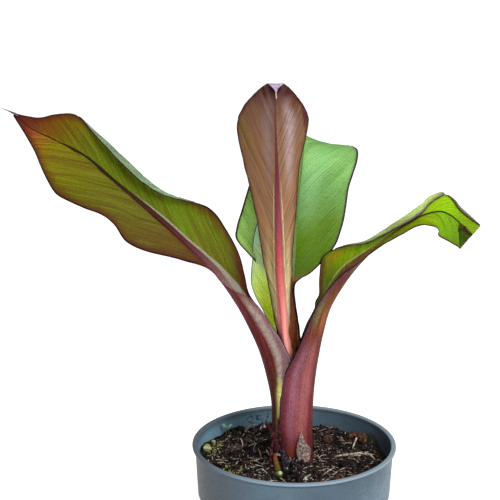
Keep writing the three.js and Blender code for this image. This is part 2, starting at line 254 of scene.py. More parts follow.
class Shell:
    """Points and faces of one piece while it is being made."""

    def __init__(self) -> None:
        """Starts with nothing."""
        self.points: list[np.ndarray] = []
        self.faces: list[np.ndarray] = []
        self.looks: list[np.ndarray] = []
        self.marks: dict[str, list[np.ndarray]] = {}
        self.count = 0

    def add(self, points: np.ndarray, faces: np.ndarray, look: Any = 0,
            **marks: np.ndarray) -> None:
        """Adds a body.

        Args:
            points: Its points in millimetres.
            faces: Its faces of four corners, a triangle with its last corner twice.
            look: Which of the piece's materials the faces take.
            marks: A number per point for each named attribute.
        """
        faces = faces.reshape(-1, 4)
        self.points.append(points.reshape(-1, 3))
        self.faces.append(faces + self.count)
        self.looks.append(np.zeros(len(faces), int) + look)
        self.count += len(self.points[-1])
        for name, values in marks.items():
            self.marks.setdefault(name, []).append(values.reshape(-1))

    def add_slab(self, first: np.ndarray, second: np.ndarray, looks: tuple[int, int],
                 **marks: np.ndarray) -> None:
        """Adds a thin closed body between two grids of points.

        Args:
            first: Points of the side whose faces turn with the grid, by row.
            second: Points of the other side.
            looks: Material of the first side, and of the second side and the rims.
            marks: A number per point of one side for each named attribute.
        """
        side, rest = slab_faces(*first.shape[:2])
        points = np.concatenate([first.reshape(-1, 3), second.reshape(-1, 3)])
        look = np.repeat(looks, (len(side), len(rest)))
        self.add(points, np.concatenate([side, rest]), look,
                 **{name: np.concatenate([v.ravel(), v.ravel()]) for name, v in marks.items()})

    def piece(self, name: str, materials: Sequence[bpy.types.Material]) -> bpy.types.Object:
        """Makes the Blender object, at the origin, unturned and unscaled.

        Args:
            name: Name of the piece.
            materials: Its materials in the order of the looks.

        Returns:
            The new object.
        """
        points = np.concatenate(self.points) * MM
        corners = np.concatenate(self.faces)
        mesh = bpy.data.meshes.new(name)
        tidy = [list(dict.fromkeys(face)) for face in corners.tolist()]
        mesh.from_pydata(points.tolist(), [], tidy)
        mesh.polygons.foreach_set("material_index", np.concatenate(self.looks).astype("int32"))
        mesh.polygons.foreach_set("use_smooth", np.ones(len(tidy), bool))
        for mark, values in self.marks.items():
            layer = mesh.attributes.new(mark, "FLOAT", "POINT")
            layer.data.foreach_set("value", np.concatenate(values).astype("float32"))
        for material in materials:
            mesh.materials.append(material)
        mesh.update()
        made = bpy.data.objects.new(name, mesh)
        bpy.context.scene.collection.objects.link(made)
        return made


def settle(piece: bpy.types.Object, slot: str, *nodes: str) -> bpy.types.Object:
    """Ties a finished piece to the part.

    Args:
        piece: The piece.
        slot: Its material slot; not used.
        nodes: The solids that it stands in for.

    Returns:
        The same piece.
    """
    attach(piece, BODY)
    if nodes:
        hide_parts(*nodes)
    return piece


class Tree:
    """A node tree that is built in code."""

    def __init__(self, tree: bpy.types.NodeTree) -> None:
        """Keeps the tree and empties it."""
        self.tree = tree
        self.tree.nodes.clear()

    def node(self, kind: str, inputs: dict[Any, Any], **settings: Any) -> bpy.types.Node:
        """Adds a node.

        Args:
            kind: Its type.
            inputs: A number, colour or socket for each input by name or index.
            settings: Its own settings.

        Returns:
            The node.
        """
        made = self.tree.nodes.new(kind)
        for key, value in settings.items():
            setattr(made, key, value)
        for key, value in inputs.items():
            if isinstance(value, Socket):
                self.tree.links.new(value, made.inputs[key])
            else:
                made.inputs[key].default_value = value
        return made

    def vector(self, x: Any, y: Any, z: Any = 0.0) -> Socket:
        """Joins three numbers into a vector."""
        return self.node("ShaderNodeCombineXYZ", {0: x, 1: y, 2: z}).outputs[0]

    def math(self, operation: str, a: Any, b: Any = 0.0, c: Any = 0.0) -> Socket:
        """Works out one number from up to three."""
        return self.node("ShaderNodeMath", {0: a, 1: b, 2: c}, operation=operation).outputs[0]

    def scale(self, vector: Any, factor: Any) -> Socket:
        """Scales a vector, or makes a colour brighter or darker."""
        return self.node("ShaderNodeVectorMath", {0: vector, "Scale": factor},
                         operation="SCALE").outputs[0]


class Graph(Tree):
    """Builds the node graph of one material."""

    def __init__(self, name: str) -> None:
        """Starts an empty material of that name."""
        self.material = bpy.data.materials.new(name)
        self.material.use_nodes = True
        super().__init__(self.material.node_tree)

    def mark(self, name: str) -> Socket:
        """Reads one of the mesh's own attributes."""
        return self.node("ShaderNodeAttribute", {}, attribute_name=name).outputs["Fac"]

    def place(self) -> Socket:
        """Reads the place on the object, in millimetres."""
        return self.scale(self.node("ShaderNodeTexCoord", {}).outputs["Object"], 1 / MM)

    def part(self, vector: Socket, axis: str) -> Socket:
        """Takes one part, X, Y or Z, of a vector."""
        return self.node("ShaderNodeSeparateXYZ", {0: vector}).outputs[axis]

    def times(self, a: Any, b: Any) -> Socket:
        """Multiplies two numbers."""
        return self.math("MULTIPLY", a, b)

    def fade(self, value: Any, low: Any, high: Any, start: float = 0.0, end: float = 1.0) -> Socket:
        """Turns a value smoothly from start at low to end at high.

        Args:
            value: What is read.
            low: Where the change begins.
            high: Where it ends.
            start: Result at and before low.
            end: Result at and after high.

        Returns:
            The result.
        """
        inputs = {"Value": value, "From Min": low, "From Max": high, "To Min": start,
                  "To Max": end}
        return self.node("ShaderNodeMapRange", inputs, interpolation_type="SMOOTHSTEP").outputs[0]

    def mix(self, share: Any, under: Any, over: Any) -> Socket:
        """Lays one colour over another by a share from 0 to 1."""
        made = self.node("ShaderNodeMix", {0: share, 6: under, 7: over}, data_type="RGBA")
        return made.outputs[2]

    def ramp(self, value: Socket, stops: Stops) -> Socket:
        """Gives a colour that changes along a value.

        Args:
            value: What is read.
            stops: Places along it, in order, each with its colour.

        Returns:
            The colour.
        """
        low, high = stops[0][0], max(stops[-1][0], stops[0][0] + 1e-3)
        where = self.node("ShaderNodeMapRange", {"Value": value, "From Min": low, "From Max": high})
        made = self.node("ShaderNodeValToRGB", {0: where.outputs[0]})
        band = made.color_ramp
        for n, (at, colour) in enumerate(stops):
            position = (at - low) / (high - low)
            step = band.elements[n] if n < 2 else band.elements.new(position)
            step.position, step.color = position, colour
        return made.outputs[0]

    def noise(self, vector: Socket, scale: float, detail: float, twist: float = 0) -> Socket:
        """Gives even noise from 0 to 1 at so many hills a unit."""
        inputs = {"Vector": vector, "Scale": scale, "Detail": detail, "Distortion": twist}
        return self.node("ShaderNodeTexNoise", inputs).outputs[0]

    def cells(self, vector: Socket, scale: float) -> Socket:
        """Gives the distance to the nearest of scattered spots."""
        return self.node("ShaderNodeTexVoronoi", {"Vector": vector, "Scale": scale}).outputs[0]

    def lines(self, value: Socket, scale: float) -> Socket:
        """Gives the distance to the nearest of unevenly spaced lines."""
        return self.node("ShaderNodeTexVoronoi", {"W": value, "Scale": scale},
                         voronoi_dimensions="1D", feature="DISTANCE_TO_EDGE").outputs[0]

    def bump(self, height: Socket, depth: float, strength: float) -> Socket:
        """Gives a surface direction for relief of that depth in millimetres."""
        inputs = {"Height": height, "Distance": depth * MM, "Strength": strength}
        return self.node("ShaderNodeBump", inputs).outputs[0]

    def finish(self, colour: Socket, roughness: Any, normal: Socket | None = None,
               **fixed: Any) -> bpy.types.Material:
        """Ends the graph in one shader.

        Args:
            colour: Base colour.
            roughness: A number or a socket.
            normal: Direction of the surface, where it has relief.
            fixed: Plain numbers or colours for the shader's other inputs.

        Returns:
            The material.
        """
        inputs: dict[Any, Any] = {"Base Color": colour, "Roughness": roughness}
        if normal is not None:
            inputs["Normal"] = normal
        inputs.update({key.replace("_", " "): value for key, value in fixed.items()})
        shader = self.node("ShaderNodeBsdfPrincipled", inputs)
        self.node("ShaderNodeOutputMaterial", {0: shader.outputs[0]})
        return self.material


@dataclass(frozen=True)
class Matter:
    """A finish for small things: a few colours, a grain and its relief."""

    name: str
    looks: tuple[Look, ...]
    patch: float = 4.0  # size of a patch of one colour, in millimetres
    grain: float = 0.6
    depth: float = 0.3
    roughness: float = 0.8

    def build(self) -> bpy.types.Material:
        """Builds the material, or finds it if it is already built.

        Returns:
            The material.
        """
        if self.name in bpy.data.materials:
            return bpy.data.materials[self.name]
        g = Graph(self.name)
        here = g.place()
        pick = g.noise(here, 1 / self.patch, 2)
        first, last = 0.36, 0.64  # the noise seldom goes past these
        places = np.linspace(first, last, len(self.looks)).tolist()
        colour = g.ramp(pick, painted(tuple(zip(places, self.looks))))
        fine = g.noise(here, 1 / self.grain, 4)
        colour = g.scale(colour, g.fade(fine, 0.3, 0.7, 0.55, 1.35))
        return g.finish(colour, self.roughness, g.bump(fine, self.depth, 0.7),
                        Specular_IOR_Level=0.12)


def dress(shell: Shell, name: str, slot: str, *matters: Matter) -> bpy.types.Object:
    """Makes a piece of a shell, with these finishes, and ties it to the part."""
    return settle(shell.piece(name, [matter.build() for matter in matters]), slot)


class Across(Enum):
    """From where a place across a leaf is told: from its rib or from its edge."""

    SPAN = "span"
    INSET = "inset"


@dataclass(frozen=True)
class Streak:
    """A soft stripe or patch of another colour along a leaf, or of painted highlight or shade.

    Its path lists a row, the stripe's middle across the leaf and its half width.
    """

    look: Look
    path: tuple[tuple[float, float, float], ...]
    across: Across = Across.SPAN
    strength: float = 0.8
    edge: float = 0.5  # how much of the half width is soft
    soft: float = 0.4  # rows over which its ends fade
    broken: float = 0.3
    over_rib: bool = False

    def lay(self, g: Graph, colour: Socket, row: Socket, sheet: Socket) -> Socket:
        """Lays the streak over a colour.

        Args:
            g: Graph of the material.
            colour: What it lies on.
            row: Place along the leaf.
            sheet: Place along and across the leaf as lengths.

        Returns:
            The new colour.
        """
        top = 60.0  # no path goes further across
        stops = tuple((r, (m / top / 2 + 0.5, w / top, 0.0, 1.0)) for r, m, w in self.path)
        guide = g.node("ShaderNodeSeparateColor", {0: g.ramp(row, stops)})
        middle = g.math("MULTIPLY_ADD", guide.outputs[0], 2 * top, -top)
        half = g.times(guide.outputs[1], top)
        off = g.math("ABSOLUTE", g.math("SUBTRACT", g.mark(self.across.value), middle))
        inside = g.fade(off, half, g.times(half, 1 - self.edge))
        first, last = self.path[0][0], self.path[-1][0]
        begins = g.fade(row, first - self.soft, first + self.soft)
        ends = g.fade(row, last + self.soft, last - self.soft)
        uneven = g.fade(g.noise(sheet, 0.22, 4), 0.3, 0.65, 1 - self.broken, 1)
        amount = g.times(g.times(begins, ends), g.times(inside, uneven))
        return g.mix(g.times(amount, self.strength), colour, paint(*self.look))


@dataclass(frozen=True)
class Finish:
    """The look of one side of a leaf, told along its rows and across its width."""

    name: str
    base: Looks
    other: Looks = ()  # the left half, where it differs
    mottle: Look = (90, 70, 40)
    mottle_share: float = 0.35
    mottle_size: float = 14.0
    margin: Look = (70, 40, 35)
    margin_width: float = 6.0
    margin_share: float = 0.7
    rim: Look = (34, 18, 22)
    rim_width: float = 1.1
    rib: Looks = ()
    slant: float = 1.0  # how far a vein runs on along the leaf for each step across
    vein_gap: float = 3.0
    vein_share: float = 0.2
    vein_depth: float = 0.3
    crease_gap: float = 9.0
    # how much painted shade darkens the creases
    crease_shade: float = 0.0
    speckle: float = 0.25
    streaks: tuple[Streak, ...] = ()
    stalk: float = 6.4  # up to this row the fibres run lengthwise
    bare_edge: tuple[float, float] | None = None  # rows where the edge has no rim
    glow: float = 0.0  # share of the light that spreads through the blade
    roughness: float = 0.5
    shine: float = 0.03

    def build(self) -> bpy.types.Material:
        """Builds the material, or finds it. It reads the attributes that a leaf writes.

        Returns:
            The material.
        """
        if self.name in bpy.data.materials:
            return bpy.data.materials[self.name]
        g = Graph(self.name)
        row, share, reach, span = (g.mark(n) for n in ("row", "share", "reach", "span"))
        inset = g.mark("inset")
        sheet = g.vector(reach, span)
        colour = g.ramp(row, painted(self.base))
        if self.other:
            side = g.fade(share, -0.06, 0.06)
            colour = g.mix(side, g.ramp(row, painted(self.other)), colour)
        far = g.math("ABSOLUTE", span)
        wander = g.times(g.noise(sheet, 0.05, 2), 5.0)
        vein = g.math("ADD", g.math("MULTIPLY_ADD", far, -self.slant, reach), wander)
        drawn = g.vector(g.times(vein, 1 / self.mottle_size), g.times(span, 0.3 / self.mottle_size))
        patches = g.fade(g.noise(drawn, 1.0, 5, 0.3), 0.42, 0.66)
        colour = g.mix(g.times(patches, self.mottle_share), colour, paint(*self.mottle))
        wave = g.math("SINE", g.times(vein, 2 * math.pi / self.vein_gap))
        fibre = g.noise(g.vector(g.times(vein, 0.9), g.times(span, 0.06)), 1.0, 4)
        spread = g.fade(row, self.stalk - 0.5, self.stalk + 0.5)
        long = g.noise(g.vector(g.times(reach, 0.02), g.times(span, 0.7)), 1.0, 4)
        fine = g.math("ADD", g.times(g.math("MULTIPLY_ADD", wave, 0.07, fibre), spread),
                      g.times(long, g.math("SUBTRACT", 1.0, spread)))
        colour = g.scale(colour, g.fade(fine, 0.3, 0.72, 1 + self.vein_share, 1 - self.vein_share))
        crease = g.fade(g.lines(vein, 1 / self.crease_gap), 0.07, 0.0)
        strong = g.fade(g.noise(g.vector(g.times(vein, 0.11), g.times(span, 0.05)), 1.0, 2),
                        0.42, 0.6)
        crease = g.times(crease, g.times(strong, spread))
        if self.rib:
            crease = g.times(crease, g.fade(g.mark("rib"), 0.9, 1.4))
        # painted shade: darker along the creases
        colour = g.scale(colour, g.math("MULTIPLY_ADD", crease, -self.crease_shade, 1.0))
        for streak in self.streaks:
            if not streak.over_rib:
                colour = streak.lay(g, colour, row, sheet)
        shown: Any = 1.0
        if self.bare_edge:
            first, last = self.bare_edge
            bare = g.times(g.fade(row, first - 0.4, first), g.fade(row, last + 0.4, last))
            shown = g.math("SUBTRACT", 1.0, bare)
        ragged = g.math("MULTIPLY_ADD", g.noise(sheet, 0.09, 3), 1.2, 0.4)
        edge = g.times(g.fade(g.times(inset, ragged), self.margin_width, 0.0), shown)
        colour = g.mix(g.times(edge, self.margin_share), colour, paint(*self.margin))
        if self.rib:
            on_rib = g.fade(g.mark("rib"), 1.15, 0.85)
            colour = g.mix(on_rib, colour, g.ramp(row, painted(self.rib)))
        for streak in self.streaks:
            if streak.over_rib:
                colour = streak.lay(g, colour, row, sheet)
        rim = g.times(g.fade(inset, self.rim_width, self.rim_width * 0.4), shown)
        colour = g.mix(rim, colour, paint(*self.rim))
        grain = g.noise(g.vector(g.times(reach, 0.5), g.times(span, 2.2)), 1.0, 5)
        colour = g.scale(colour, g.fade(grain, 0.3, 0.7, 1 + self.speckle, 1 - self.speckle))
        dots = g.times(g.fade(g.noise(sheet, 1.1, 3), 0.56, 0.68), self.speckle)
        colour = g.scale(colour, g.math("SUBTRACT", 1.0, dots))
        relief = g.math("MULTIPLY_ADD", grain, 0.3, g.math("MULTIPLY_ADD", crease, -1.5, fine))
        rough_skin = g.math("MULTIPLY_ADD", grain, 0.2, self.roughness - 0.1)
        return g.finish(colour, rough_skin, g.bump(relief, self.vein_depth, 0.8),
                        Specular_IOR_Level=self.shine, Subsurface_Weight=self.glow,
                        Subsurface_Radius=(1.0, 1.0, 0.5), Subsurface_Scale=3.0 * MM)


class Side(Enum):
    """The two halves of a leaf, as seen with its tip up and its upper side in view."""

    RIGHT = 1
    LEFT = -1

    def columns(self) -> tuple[int, int]:
        """Gives the column of points at its margin, and the one two further in."""
        return (-1, -3) if self is Side.RIGHT else (0, 2)


@dataclass(frozen=True)
class Roll:
    """A stretch of margin that rolls over the upper side and shows the underside."""

    side: Side
    first: float
    last: float
    width: float  # of the part that lies back over the blade, at its widest
    radius: float = 1.6
    angle: float = 186.0  # direction of that part, from the way across the leaf
    columns: int = 12
    full: float = 0.6

    def length(self, t: np.ndarray, turn: np.ndarray) -> np.ndarray:
        """Gives how far the margin runs on at each station."""
        share = np.clip((t - self.first) / (self.last - self.first), 0, 1)
        return np.sin(np.pi * share) ** self.full * (self.width + self.radius * turn)


@dataclass(frozen=True)
class Swell:
    """A place where the margin stands out further than its rows say, or less far."""

    side: Side
    row: float
    size: float  # rows to either side over which it fades
    more: float

    def push(self, t: np.ndarray, span: np.ndarray, width: np.ndarray) -> np.ndarray:
        """Gives how far each point of the grid moves outwards."""
        share = np.clip(self.side.value * span / np.maximum(width, 1e-6), 0, 1)
        return self.more * bell((t - self.row) / self.size)[:, None] * share ** 2


@dataclass
class Sheet:
    """The fine grid of one leaf, read off sections half a row apart."""

    t: np.ndarray
    upper: np.ndarray
    normal: np.ndarray
    depth: np.ndarray
    span: np.ndarray
    width: np.ndarray
    reach: np.ndarray


@dataclass
class Leaf:
    """One leaf as a thin sheet, from its sheath to its tip.

    A row is the point at the bottom of its channel, the way its upper side faces,
    then width, lift, curl and roll of the right and of the left half, and how
    thick the solid is at the rib and at the margin.
    """

    name: str
    rows: Sequence[Sequence[Sequence[float]]]
    upper: Finish
    under: Finish
    stands_for: tuple[str, ...]
    slot: str
    relief: Field
    start: float = 0.0
    ribs: Sequence[float] = ()  # half width of the rib at each row
    aside: Sequence[float] = ()  # how far the rib's colour lies to the right
    ridge: Sequence[float] = ()  # how far the rib stands out below
    groove: float = 0.5
    thin: float = 0.3  # share of the solid's thickness
    rolls: tuple[Roll, ...] = ()
    swells: tuple[Swell, ...] = ()
    steps: int = 300
    columns: int = 26

    def key(self, values: Sequence[float], other: float, t: np.ndarray) -> np.ndarray:
        """Reads a list of values by row, or one value where there is no list."""
        return keyed(np.array(values or [other] * len(self.rows), float), t)[:, None]

    def half(self, k: np.ndarray, side: Side, at: np.ndarray, face: np.ndarray,
             across: np.ndarray) -> list[np.ndarray]:
        """Works out one half of each section.

        Args:
            k: Rows at the stations.
            side: Which half.
            at: Rib points.
            face: Upper side at each.
            across: Way across at each.

        Returns:
            Points, directions of the upper side, depths of the solid, lengths across.
        """
        first = 6 if side is Side.RIGHT else 10  # where this half's numbers start in a row
        closer_at_rib = 1.2
        width, lift, curl, roll = (k[:, first + n, None] for n in range(4))
        v = (np.arange(self.columns + 1) / self.columns) ** closer_at_rib

        def angle(share: np.ndarray) -> np.ndarray:
            """Gives the slope at a share of the width."""
            return np.radians(lift + curl * share + roll * np.clip((share - 0.7) / 0.3, 0, None))

        middle = angle((v[1:] + v[:-1]) / 2)
        step = width * np.diff(v)
        out = np.cumsum(side.value * np.cos(middle) * step, 1)
        rise = np.cumsum(np.sin(middle) * step, 1)
        outside = at[:, None] + across[:, None] * out[..., None] + face[:, None] * rise[..., None]
        slope = angle(v[None, :])
        slope[:, 0] = 0
        normal = face[:, None] * np.cos(slope)[..., None]
        normal = normal - across[:, None] * (side.value * np.sin(slope))[..., None]
        rib, edge = k[:, -2, None], k[:, -1, None]
        depth = edge + (rib - edge) * (1 - v) ** 3
        return [np.concatenate([at[:, None], outside], 1), normal, depth, width * v * side.value]

    def sheet(self) -> Sheet:
        """Runs the fine grid through sections half a row apart.

        Returns:
            The grid.
        """
        table = np.array([[x for part in row for x in part] for row in self.rows], float)
        last = len(table) - 1
        count = math.ceil((last - self.start) * 2)
        t = np.linspace(self.start, last, count + 1)
        k = keyed(table, t)
        at = k[:, :3]
        along = unit(keyed(table[:, :3], np.minimum(t + 0.02, last))
                     - keyed(table[:, :3], np.maximum(t - 0.02, 0)))
        face = square(k[:, 3:6], along)
        across = np.cross(along, face)
        halves = [self.half(k, side, at, face, across) for side in Side]
        fine = np.linspace(0, count, self.steps)
        joined = [keyed(np.concatenate([left[:, :0:-1], right], 1), fine)
                  for right, left in zip(*halves)]
        rib = keyed(at, fine)
        reach = np.concatenate([[0], np.cumsum(np.linalg.norm(np.diff(rib, axis=0), axis=1))])
        widths = keyed(np.stack([k[:, 10], k[:, 6]], 1), fine)
        span = joined[3]
        width = np.where(span < 0, widths[:, :1], widths[:, 1:])
        rows, points = keyed(t[:, None], fine)[:, 0], joined[0]
        for swell in self.swells:
            edge, beside = swell.side.columns()
            out = unit(points[:, edge] - points[:, beside])[:, None]
            points = points + out * swell.push(rows, span, width)[..., None]
        return Sheet(rows, points, unit(joined[1]), joined[2], span, width,
                     np.broadcast_to(reach[:, None], span.shape))

    def build(self) -> bpy.types.Object:
        """Builds the leaf's mesh and dresses it.

        Returns:
            The finished piece.
        """
        s = self.sheet()
        share = s.span / np.maximum(s.width, 1e-6)
        rib_half = np.maximum(self.key(self.ribs, 2.0, s.t), 0.2)
        rib = np.abs(s.span) / rib_half
        ridge = self.key(self.ridge, 0.0, s.t) * bell(rib * 0.8)
        lift = self.relief(s.reach, s.span)[..., None] * s.normal
        lower = s.upper - s.normal * (s.depth + ridge)[..., None] + lift
        thinnest = 0.55
        thick = np.maximum(s.depth * self.thin, thinnest) + ridge
        sunk = np.minimum(self.groove * bell(rib * 0.9), thick * 0.4)
        upper = lower + s.normal * (thick - sunk)[..., None]
        inset = np.where(np.abs(share) > 0.999, 0.0, np.abs(s.width) - np.abs(s.span))
        drawn = np.abs(s.span - self.key(self.aside, 0.0, s.t)) / rib_half
        shell = Shell()
        for roll in self.rolls:
            run = self.turn_over(shell, s, roll, upper)
            inset = inset + run[:, None] * (np.sign(s.span) == roll.side.value)
        marks = dict(row=np.broadcast_to(s.t[:, None], share.shape), share=share, reach=s.reach,
                     span=s.span, rib=drawn, inset=np.minimum(inset, 50.0))
        shell.add_slab(upper, lower, (0, 1), **marks)
        made = shell.piece(self.name, [self.upper.build(), self.under.build()])
        return settle(made, self.slot, *self.stands_for)

    def turn_over(self, shell: Shell, s: Sheet, roll: Roll, upper: np.ndarray) -> np.ndarray:
        """Adds a rolled stretch of margin.

        Args:
            shell: Where it is added.
            s: The leaf's grid.
            roll: The stretch.
            upper: Points of the finished upper side.

        Returns:
            How far the margin runs on at each station of the grid.
        """
        right = roll.side is Side.RIGHT
        edge, beside = roll.side.columns()
        out = unit(s.upper[:, edge] - s.upper[:, beside])
        normal = square(s.normal[:, edge], out)
        table = np.array([row[2 if right else 3] for row in self.rows], float)
        slope = keyed(table[:, 1:2] + table[:, 2:3] + table[:, 3:4], s.t)[:, 0]
        turn = np.radians(np.maximum(roll.angle - slope, 10))
        run = np.where((s.t > roll.first) & (s.t < roll.last), roll.length(s.t, turn), 0.0)
        rows = np.nonzero(run > 0.15)[0]
        length = run[rows, None]
        way = np.linspace(0, 1, roll.columns + 1)[None] * length
        bend = np.minimum(roll.radius * turn[rows, None], 0.4 * length)
        middle = (way[:, 1:] + way[:, :-1]) / 2
        angle = turn[rows, None] * np.clip(middle / bend, 0, 1)
        step = np.diff(way, axis=1)
        steps = (out[rows, None] * (np.cos(angle) * step)[..., None]
                 + normal[rows, None] * (np.sin(angle) * step)[..., None])
        foot = upper[rows, edge][:, None]
        points = np.concatenate([foot, foot + np.cumsum(steps, 1)], 1)
        angle = turn[rows, None] * np.clip(way / bend, 0, 1)
        facing = (normal[rows, None] * np.cos(angle)[..., None]
                  - out[rows, None] * np.sin(angle)[..., None])
        sign = roll.side.value
        if not right:
            points, facing, way = points[:, ::-1], facing[:, ::-1], way[:, ::-1]
        shape, thick, off_rib = way.shape, 0.5, 9.0
        marks = dict(row=np.broadcast_to(s.t[rows, None], shape),
                     share=sign * (0.5 + 0.5 * way / length),
                     reach=np.broadcast_to(s.reach[rows, :1], shape),
                     span=sign * (np.abs(s.width[rows][:, [edge]]) + way),
                     rib=np.full(shape, off_rib), inset=length - way)
        shell.add_slab(points, points - facing * thick, (0, 1), **marks)
        return run


def ripple(length: float, height: float, seed: int, fine: float = 0.25,
           slant: float = 1.0) -> Field:
    """Makes relief that grows towards the margins, with small unevenness all over.

    Args:
        length: Length of one wave along the leaf.
        height: Height of the waves 20 mm from the rib.
        seed: Chooses the unevenness.
        fine: Height of the unevenness.
        slant: How far a vein runs on along the leaf for each step across.

    Returns:
        A relief for a leaf.
    """
    def relief(reach: np.ndarray, span: np.ndarray) -> np.ndarray:
        """Gives the relief at places on the leaf.

        Args:
            reach: How far along the rib they lie.
            span: How far across.

        Returns:
            The rise in millimetres.
        """
        far = np.abs(span)
        wave = np.sin(reach * 2 * np.pi / length + np.sign(span) * 1.3)
        veins = rough((reach - far * slant) * 0.35, span * 0.06, 1.6, seed)
        body = rough(reach, span, 17, seed + 1)
        grow = np.minimum(far / 20, 1.6) ** 2
        return height * wave * grow + fine * (veins + body) * np.minimum(far / 4, 1)
    return relief


def dented(relief: Field, reach: float, span: float, size: tuple[float, float],
           depth: float) -> Field:
    """Adds one smooth dent or swelling to a relief.

    Args:
        relief: What it is added to.
        reach: Its middle along the leaf.
        span: Its middle across the leaf.
        size: Half its length and half its width.
        depth: How far it goes towards the upper side.

    Returns:
        The new relief.
    """
    def changed(along: np.ndarray, across: np.ndarray) -> np.ndarray:
        """Gives the rise in millimetres at a place on the leaf."""
        spot = bell((along - reach) / size[0]) * bell((across - span) / size[1])
        return relief(along, across) + depth * spot
    return changed


def pocketed(relief: Field, start: float, depth: float) -> Field:
    """Sinks the near corner of a leaf's end behind a straight step.

    Args:
        relief: What it is cut into.
        start: Where the step begins along the rib.
        depth: How far the corner sinks.

    Returns:
        The new relief.
    """
    def changed(along: np.ndarray, across: np.ndarray) -> np.ndarray:
        """Gives the rise in millimetres at a place on the leaf."""
        past = np.clip((along - 0.82 * across - start) / 1.2, 0, 1)
        beside = np.clip((across - 0.8) / 1.5, 0, 1)
        return relief(along, across) - depth * past * beside
    return changed


SOIL_TOP = 113.0
FOOT = 109.3  # the sheaths start here, just under the compost

LEFT_ROWS = (
    ((-17, 0.5, FOOT), (0.99, -0.1, 0), (25, 0, 120, 0), (25, 0, 120, 0), (3.2, 2)),
    ((-15.5, 0.5, 140), (0.99, -0.1, 0), (25, 0, 120, 0), (25, 0, 120, 0), (3.2, 2)),
    ((-16, 0, 165), (0.99, -0.05, 0.05), (25, 0, 120, 0), (24, 0, 115, 0), (3.2, 2)),
    ((-20, -1, 188), (0.96, 0, 0.2), (23, 0, 118, 0), (27.5, 0, 135, 0), (3.2, 2)),
    ((-26, -2, 211), (0.88, 0, 0.42), (19, 0, 114, 0), (25, 0, 131, 0), (3.4, 2)),
    ((-35, -3, 233), (0.82, 0, 0.55), (16, 0, 106, 0), (20, 0, 115, 0), (3.6, 2)),
    ((-45.5, -4, 254), (0.75, -0.1, 0.62), (12, 5, 85, 0), (16.5, 0, 105, 0), (4, 2.2)),
    ((-62, -4, 278), (0.55, -0.4, 0.7), (23, 30, 30, 0), (5, 0, 30, 0), (4.6, 2.6)),
    ((-88, -3, 303), (0.4, -0.6, 0.68), (33, 15, 10, 40), (17.3, -10, 0, 0), (4.6, 2.8)),
    ((-115, 1, 327), (0.3, -0.68, 0.67), (19, 15, 10, 90), (30.6, -10, 0, 0), (4.4, 2.8)),
    ((-142, 6, 349), (0.25, -0.7, 0.65), (17, 15, 10, 80), (31.3, -10, 0, 0), (4.2, 2.8)),
    ((-168, 11, 369), (0.2, -0.72, 0.6), (22, 15, 10, 50), (37, -10, 0, 0), (4, 2.8)),
    ((-190, 15, 383), (0.18, -0.74, 0.6), (26, 10, 0, 0), (26, -8, 0, 0), (3.6, 2.8)),
    ((-210, 18, 393), (0.15, -0.75, 0.6), (10, 5, 0, 0), (10, -5, 0, 0), (3.2, 2.8)),
    ((-225, 20, 403), (0.1, -0.75, 0.6), (1.2, 0, 0, 0), (1.2, 0, 0, 0), (2.8, 2.8)),
)

RIGHT_ROWS = (
    ((13.2, -2.6, FOOT), (-0.98, 0.17, 0), (29, 0, 110, 0), (29, 0, 110, 0), (3, 1.8)),
    ((12.3, -2.5, 140), (-0.98, 0.17, 0), (30, 0, 113, 0), (29, 0, 110, 0), (3, 1.8)),
    ((12.6, -2, 165), (-0.98, 0.12, 0.02), (31, 0, 125, 0), (28, 0, 112, 0), (3, 1.8)),
    ((14.3, -1.5, 188), (-0.98, 0.05, 0.1), (28.5, 0, 133, 0), (24, 0, 114, 0), (3, 1.8)),
    ((17.6, -1, 211), (-0.95, 0, 0.25), (22, 0, 119, 0), (19, 0, 112, 0), (3, 1.8)),
    ((21.2, 0, 230), (-0.93, 0, 0.36), (17, 0, 109, 0), (15, 0, 104, 0), (3.2, 2)),
    ((26.6, 0, 250), (-0.88, 0, 0.47), (14, 0, 95, 0), (12, 0, 90, 0), (3.6, 2.2)),
    ((41, 1, 275), (-0.75, 0, 0.65), (8, 10, 60, 0), (24.5, 40, 50, 0), (4, 2.5)),
    ((60.5, 3, 296), (-0.6, -0.1, 0.78), (4, -10, 0, 0), (7.5, 5, 90, 0), (3.2, 1.8)),
    ((80, 6, 311), (-0.55, -0.25, 0.8), (9, -5, 0, 0), (4, -10, 100, 0), (3, 1.8)),
    ((93, 7.5, 319), (-0.5, -0.4, 0.78), (8.5, -5, 0, 0), (4, -10, 90, 0), (3, 1.8)),
    ((104, 8, 324), (-0.4, -0.6, 0.7), (11, -10, 0, 0), (7, 5, 30, 0), (3.2, 2.2)),
    ((117, 8, 326), (0, -0.8, 0.6), (16.5, -10, 0, 0), (15, 5, 5, 0), (3.4, 2.5)),
    ((128, 7, 321), (0.2, -0.85, 0.5), (20, -10, 0, 0), (10, 0, 0, 0), (3.2, 2.5)),
    ((143, 4, 307), (0.3, -0.9, 0.4), (15.5, 0, 0, 0), (11, 0, 0, 0), (3, 2.5)),
)

